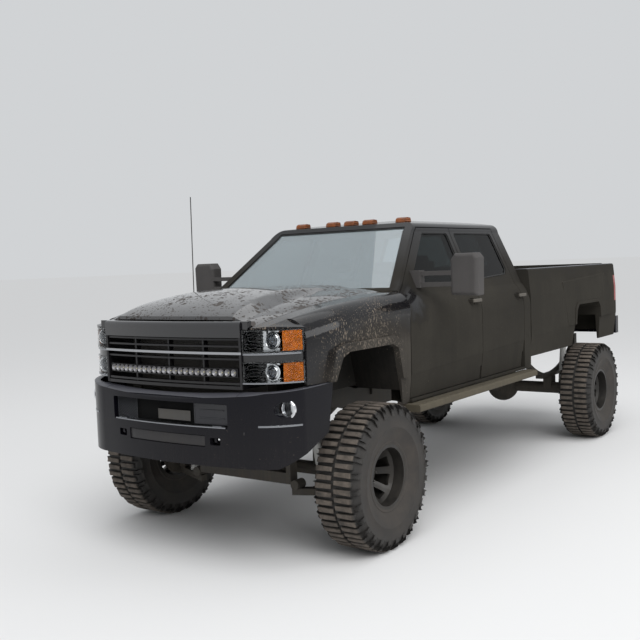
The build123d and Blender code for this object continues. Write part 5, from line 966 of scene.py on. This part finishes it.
# Tow mirrors: moulded plastic heads on two arms each, bolted to the front doors and filmed with dust.
# A tall flat glass sits over a small wide-angle one.
mirror_plastic = finish("mirror_plastic", (0.014, 0.0135, 0.014), 0.5, dust=(0.75, 3.0, 1.4), even=0.3,
                        streaks=0.15, dust_color=(0.13, 0.12, 0.115))
# The glasses of the left mirror: their width, and the heights of the small and the tall one
PANES_Y, PANES_Z = (1.219, 1.401), ((1.733, 1.803), (1.813, 1.995))
MIRROR_FACE_X = 1.3195
mirror_glass = finish("mirror_glass", (0.6, 0.63, 0.66), 0.04, metallic=1.0, dust=(0.25, 3.0, 1.4),
                      grain=60.0, variation=0.02, bump=0.0)
for side, sign in SIDES:
    name = f"mirror_{side}"
    refined(name, mirror_plastic, 0.003, 3)
    panes = []
    for low_z, high_z in PANES_Z:
        panes.append(box_piece("pane", (MIRROR_FACE_X - 0.003, sign * PANES_Y[0], low_z),
                               (MIRROR_FACE_X, sign * PANES_Y[1], high_z)))
    assembled(f"mirror_glass_{side}", panes, mirror_glass, name, 0.0009)

# Clearance lamps and antenna: five moulded amber lenses screwed in a row to the roof's front edge.
# The antenna is a steel whip on a moulded base, fixed to a fender.
refined("marker_lamps", fluted("marker_amber", (0.2, 0.055, 0.01), 400.0), 0.003, 3)
refined("antenna", finish("antenna_black", (0.012, 0.012, 0.012), 0.35, dust=(0.3, 3.4, 1.6)), 0.0)

# Running boards: moulded plastic treads on steel brackets bolted to the frame.
# Dried dirt has left them tan on top, and ribs give the foot a hold.
BOARD_RIBS = 34
BOARD_LENGTH = (-0.42, 1.77)
BOARD_RIB_Y, BOARD_RIB_Z = (1.012, 1.094), (0.9235, 0.9275)
board_plastic = finish("board_plastic", (0.012, 0.012, 0.012), 0.6, dust=(1.0, 1.3, 0.9), even=0.6,
                       splash=0.3, drops=60.0, dust_color=(0.095, 0.08, 0.053))
refined("running_boards", board_plastic, 0.002)
step = (BOARD_LENGTH[1] - BOARD_LENGTH[0]) / BOARD_RIBS
for side, sign in SIDES:
    ribs = []
    for index in range(BOARD_RIBS):
        x = BOARD_LENGTH[0] + step * (index + 0.25)
        ribs.append(box_piece("rib", (x, sign * BOARD_RIB_Y[0], BOARD_RIB_Z[0]),
                              (x + step * 0.5, sign * BOARD_RIB_Y[1], BOARD_RIB_Z[1])))
    assembled(f"board_ribs_{side}", ribs, board_plastic, "running_boards", 0.0015, 30.0, 1)

# Wipers: two pressed steel arms with rubber blades, parked along the foot of the windshield.
# Each turns on a round hub that comes up through the cowl.
# The foot of the windshield, as (x, z), and how far it leans back and rises from there
SCREEN_FOOT, SCREEN_RUN, SCREEN_RISE = (1.725, 1.768), 0.655, 0.528
# Each wiper, as (y of its pivot, length of its blade)
WIPERS = ((0.62, 0.58), (-0.02, 0.54))
wiper_black = finish("wiper_black", (0.01, 0.01, 0.01), 0.5, dust=(0.4, 2.2, 1.6))
wipers = []
for pivot_y, length in WIPERS:
    # Drawn flat on a level screen, then tipped back about the screen's foot
    foot_x, foot_z = SCREEN_FOOT
    arm = box_piece("arm", (foot_x - 0.075, pivot_y - 0.4, foot_z + 0.006),
                    (foot_x - 0.062, pivot_y, foot_z + 0.014))
    opened(arm)
    pick(arm, "VERT", lambda place: place.y > pivot_y - 0.01)
    bpy.ops.transform.translate(value=(0.05, 0.0, 0.0))
    closed()
    blade = box_piece("blade", (foot_x - 0.082, pivot_y - 0.12 - length, foot_z - 0.011),
                      (foot_x - 0.074, pivot_y - 0.12, foot_z + 0.006))
    spine = box_piece("spine", (foot_x - 0.086, pivot_y - 0.1 - length, foot_z + 0.001),
                      (foot_x - 0.07, pivot_y - 0.14, foot_z + 0.009))
    hub = turned("hub", (foot_x - 0.02, pivot_y, foot_z), "Z",
                 [(0.018, -0.012), (0.018, 0.012), (0.014, 0.018), (0.005, 0.0195)], 24)
    wipers += [arm, blade, spine, hub]
wipers = joined("wipers", wipers)
soften(wipers, 0.0015, 30.0)
opened(wipers)
bpy.ops.transform.rotate(value=math.atan2(SCREEN_RISE, SCREEN_RUN), orient_axis="Y",
                         center_override=(SCREEN_FOOT[0], 0.0, SCREEN_FOOT[1]))
closed()
settle(wipers, "wipers", wiper_black, "cab_shell")

# Bed rail caps: moulded black plastic, pressed over the rolled rails of the bed.
# They cover the raw edge of its pressed steel sides, and share the pad's light grey, a painted sheen on
# their tops.
# The caps' light grey is the pad's painted sheen.
skin("cargo_bed", "bed_rail_caps", pad_plastic_painted_sheen, lambda place, normal: normal.z > 0.9 and place.z > 1.855, [],
     0.004, 0.0012)

# Tail lamps: moulded red lenses, screwed into the bed's rear corners.
# Each has a clear reversing window in its middle.
REVERSING_Z, REVERSING_Y = (1.545, 1.625), (0.916, 0.992)
tail_red = finish("tail_red", (0.32, 0.008, 0.008), 0.12, coat=0.7, dust=(0.5, 2.2, 1.3), grain=50.0)
reversing_clear = finish("reversing_clear", (0.72, 0.73, 0.74), 0.15, coat=0.6, dust=(0.4, 2.2, 1.3),
                         grain=50.0)
refined("tail_lamps", tail_red, 0.003, 3)
for side, sign in SIDES:
    skin("tail_lamps", f"reversing_lamp_{side}", reversing_clear,
         lambda place, normal: sign * place.y > 0.8 and normal.x < -0.7, between("Z", *REVERSING_Z) +
         between("Y", sign * REVERSING_Y[0], sign * REVERSING_Y[1]), 0.002)

# Rear bumper: a pressed steel step in satin black, bolted to the ends of the frame.
# A blank pressed plate is fixed in its recess.
PLATE_HALF, PLATE_Z = 0.15, (1.078, 1.202)
refined("rear_bumper", bumper_black, 0.003)
rear_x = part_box("rear_bumper")[0][0]
plate = box_piece("rear_plate", (rear_x + 0.0085, -PLATE_HALF, PLATE_Z[0]),
                  (rear_x + 0.0115, PLATE_HALF, PLATE_Z[1]))
opened(plate)
pick(plate, "FACE", lambda place, normal: normal.x < -0.9)
bpy.ops.mesh.inset(thickness=0.007)
bpy.ops.mesh.extrude_region_move(TRANSFORM_OT_translate={"value": (0.001, 0.0, 0.0)})
closed()
soften(plate, 0.0006, 30.0)
settle(plate, "rear_plate", blank_metal, "rear_bumper")

# Cab interior: a moulded dashboard, screwed to the cab, with the steering wheel on its column.
# Both show only through the glass and when a door is open.
dash_black = finish("dash_black", (0.018, 0.018, 0.018), 0.65, dust=(0.2, 2.4, 1.2), grain=500.0, bump=0.2)
wheel_leather = finish("wheel_leather", (0.012, 0.012, 0.012), 0.5, grain=600.0, bump=0.2)
refined("dashboard", dash_black, 0.006, 3)
refined("steering_wheel", wheel_leather)


# Seats: foam cushions in charcoal cloth on moulded bases, two in front and a bench behind.
# Each cushion is its own stuffed cover, crowned and drawn in between its corners.
# Rows as (name, station of the front edge, middles of the cushions, half width, top of the back, restraints)
SEAT_ROWS = [("front", 2.12, (0.4, -0.4), 0.25, 1.85, (0.4, -0.4)),
             ("rear", 2.96, (0.0,), 0.72, 1.8, (-0.45, 0.0, 0.45))]
COVER_INSET = 0.022
CHAIR_VOXEL, BENCH_VOXEL, PAD_VOXEL = 0.008, 0.01, 0.006
PUFF_PRESSURE = 4.0
PUFF_LIMIT = 0.016
PUFF_STEPS = 20
seat_cloth = finish("seat_cloth", (0.028, 0.028, 0.03), 0.9, grain=900.0, variation=0.3, bump=0.25,
                    dust=(0.12, 2.4, 1.1))
seat_plastic = finish("seat_plastic", (0.014, 0.014, 0.014), 0.6)


def slab(name, corners, low_y, high_y):
    """A block across the vehicle through four (station, height) corners.
    They are its low front, low rear, high rear and high front."""
    (low_s, high_s), (low_z, high_z) = [(min(values), max(values)) for values in zip(*corners)]
    starts = ((low_s, low_z), (high_s, low_z), (high_s, high_z), (low_s, high_z))
    piece = box_piece(name, (FRONT_X - high_s, low_y, low_z), (FRONT_X - low_s, high_y, high_z))
    opened(piece)
    verts = bmesh.from_edit_mesh(piece.data).verts
    groups = [{v.index for v in verts if math.hypot(FRONT_X - s - v.co.x, v.co.z - z) < 0.001} for s,
              z in starts]
    for group, (s, z), (to_s, to_z) in zip(groups, starts, corners):
        bpy.ops.mesh.select_mode(type="VERT")
        bpy.ops.mesh.select_all(action="DESELECT")
        mesh = bmesh.from_edit_mesh(piece.data)
        for vertex in mesh.verts:
            vertex.select = vertex.index in group
        mesh.select_flush_mode()
        bmesh.update_edit_mesh(piece.data)
        bpy.ops.transform.translate(value=(s - to_s, 0.0, to_z - z))
    closed()
    return piece


def cushion(name, corners, low_y, high_y, voxel):
    """A stuffed cover that starts from a slab a little smaller than the seat and swells under pressure."""
    piece = slab(name, corners, low_y, high_y)
    soften(piece, 0.025, 30.0, 3)
    modify(piece, "REMESH", mode="VOXEL", voxel_size=voxel)
    start = [vertex.co.copy() for vertex in piece.data.vertices]
    alone(piece)
    cloth = piece.modifiers.new("cloth", "CLOTH")
    cloth.settings.use_pressure = True
    cloth.settings.uniform_pressure_force = PUFF_PRESSURE
    cloth.settings.effector_weights.gravity = 0.0
    cloth.point_cache.frame_start = 1
    cloth.point_cache.frame_end = PUFF_STEPS
    for step in range(1, PUFF_STEPS + 1):
        bpy.context.scene.frame_set(step)
    bpy.ops.object.modifier_apply(modifier=cloth.name)
    bpy.context.scene.frame_set(1)
    for vertex, place in zip(piece.data.vertices, start):
        move = vertex.co - place
        if move.length > PUFF_LIMIT:
            vertex.co = place + move * (PUFF_LIMIT / move.length)
    modify(piece, "SUBSURF", levels=1, render_levels=1)
    alone(piece)
    bpy.ops.object.shade_smooth_by_angle(angle=math.radians(50.0))
    return piece


def seat_parts(front, top):
    """The outlines of a seat's cushion and back, from the station of its front edge."""
    return (((front + 0.03, 1.27), (front + 0.47, 1.26), (front + 0.478, 1.352), (front + 0.036, 1.382)),
            ((front + 0.512, 1.37), (front + 0.632, 1.34), (front + 0.682, top - 0.02),
             (front + 0.618, top - 0.02)))


swollen = {}
for row, front, middles, half, top, restraints in SEAT_ROWS:
    voxel = BENCH_VOXEL if half > 0.5 else CHAIR_VOXEL
    for y in middles:
        side = "" if len(middles) == 1 else ("_left" if y > 0 else "_right")
        for part, outline in zip(("cushion", "back"), seat_parts(front, top)):
            if (row, part) in swollen:
                first, first_y = swollen[(row, part)]
                piece = copied(first, "cover", (0.0, y - first_y, 0.0))
                piece.parent = None
            else:
                reach = half - COVER_INSET
                piece = cushion("cover", outline, y - reach, y + reach, voxel)
                swollen[(row, part)] = (piece, y)
            settle(piece, f"seat_{part}_{row}{side}", seat_cloth, "seats")
        base = slab("base", ((front + 0.07, 1.082), (front + 0.55, 1.082), (front + 0.56, 1.245),
                             (front + 0.035, 1.245)), y - half + 0.02, y + half - 0.02)
        spine = slab("spine", ((front + 0.57, 1.082), (front + 0.61, 1.082), (front + 0.695, top - 0.04),
                               (front + 0.684, top - 0.04)), y - half + 0.04, y + half - 0.04)
        assembled(f"seat_base_{row}{side}", [base, spine], seat_plastic, "seats", 0.008)
    for number, y in enumerate(restraints):
        if "restraint" in swollen:
            first, first_x, first_y, first_top = swollen["restraint"]
            pad = copied(first, "pad", (-front - first_x, y - first_y, top - first_top))
        else:
            low_s, high_s = front + 0.616, front + 0.68
            pad = cushion("pad", ((low_s, top + 0.04), (high_s, top + 0.04), (high_s, top + 0.175),
                                  (low_s + 0.008, top + 0.175)), y - 0.11, y + 0.11, PAD_VOXEL)
            swollen["restraint"] = (pad, -front, y, top)
        settle(pad, f"head_restraint_{row}_{number + 1}", seat_cloth, "seats")
        posts = [turned("post", (FRONT_X - front - 0.65, y + reach, top), "Z",
                        [(0.0065, -0.035), (0.0065, 0.05), (0.005, 0.052)], 12) for reach in (-0.06, 0.06)]
        assembled(f"restraint_posts_{row}_{number + 1}", posts, chrome, "seats")
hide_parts("seats")

# Floor and lamps: a pale studio floor that runs into its backdrop, with soft lamps above.
# One lamp is the key, one lights the left side, one the top, and a broad sun fills the rest.
GROUND_SIZE = 900.0
bpy.ops.object.select_all(action="DESELECT")
bpy.ops.mesh.primitive_plane_add(size=GROUND_SIZE, location=(0.0, 0.0, 0.0))
floor = bpy.context.active_object
floor.name = "studio_floor"
floor_material, tree, shader = new_material("studio_floor")
for name, value in (("Base Color", (0.8, 0.8, 0.8)), ("Roughness", 1.0), ("Specular IOR Level", 0.0)):
    feed(tree, value, shader.inputs[name])
floor.data.materials.append(floor_material)

world = bpy.data.worlds.new("studio")
bpy.context.scene.world = world
world.use_nodes = True
tree = world.node_tree
sky = tree.nodes["Background"]
sky.inputs["Color"].default_value = (0.86, 0.88, 0.9, 1.0)
path = node(tree, "ShaderNodeLightPath")
seen = maths(tree, "ADD", path.outputs["Is Camera Ray"], path.outputs["Is Transmission Ray"])
seen = maths(tree, "ADD", seen, path.outputs["Is Glossy Ray"], clamp=True)
feed(tree, ramp(tree, seen, 0.0, 1.0, 0.5, 0.74), sky.inputs["Strength"])


def lamp(name, place, target, size, power):
    """A soft square lamp that looks at a point."""
    data = bpy.data.lights.new(name, "AREA")
    data.size = size
    data.energy = power
    made = bpy.data.objects.new(name, data)
    bpy.context.scene.collection.objects.link(made)
    made.location = place
    made.rotation_euler = (Vector(target) - Vector(place)).to_track_quat("-Z", "Y").to_euler()


lamp("key_lamp", (7.0, 6.5, 8.0), (0.5, 0.0, 1.2), 6.0, 330.0)
lamp("side_lamp", (-3.0, 10.0, 5.0), (-0.5, 0.0, 1.2), 5.0, 175.0)
lamp("top_lamp", (0.0, 0.0, 9.0), (0.0, 0.0, 1.5), 8.0, 130.0)
sun = bpy.data.lights.new("broad_lamp", "SUN")
sun.energy = 1.3
sun.angle = math.radians(60.0)
broad = bpy.data.objects.new("broad_lamp", sun)
bpy.context.scene.collection.objects.link(broad)
broad.rotation_euler = Vector((-0.5, -0.45, -1.0)).to_track_quat("-Z", "Y").to_euler()

# Camera: the photograph's viewpoint, in front of the left corner at about the height of the mirrors.
# Its place, turn, tilt, roll and lens come from a fit to points of the body.
CAMERA_PLACE = (7.444, 4.317, 1.977)
CAMERA_TURN, CAMERA_TILT, CAMERA_ROLL = math.radians(215.74), math.radians(-3.94), math.radians(2.16)
CAMERA_LENS = 50.2
camera_data = bpy.data.cameras.new("camera")
camera_data.lens = CAMERA_LENS
camera_data.sensor_width = 36.0
camera_data.sensor_fit = "HORIZONTAL"
camera_data.shift_x = -0.0019
camera_data.shift_y = 0.0097
camera = bpy.data.objects.new("camera", camera_data)
bpy.context.scene.collection.objects.link(camera)
look = Vector((math.cos(CAMERA_TILT) * math.cos(CAMERA_TURN), math.cos(CAMERA_TILT) * math.sin(CAMERA_TURN),
               math.sin(CAMERA_TILT)))
level_right = look.cross(Vector((0, 0, 1))).normalized()
level_down = look.cross(level_right).normalized()
right = math.cos(CAMERA_ROLL) * level_right + math.sin(CAMERA_ROLL) * level_down
down = -math.sin(CAMERA_ROLL) * level_right + math.cos(CAMERA_ROLL) * level_down
camera.matrix_world = Matrix([(right[i], -down[i], -look[i], CAMERA_PLACE[i]) for i in range(3)] +
                             [(0, 0, 0, 1)])
bpy.context.scene.camera = camera
bpy.context.scene.view_settings.view_transform = "Standard"
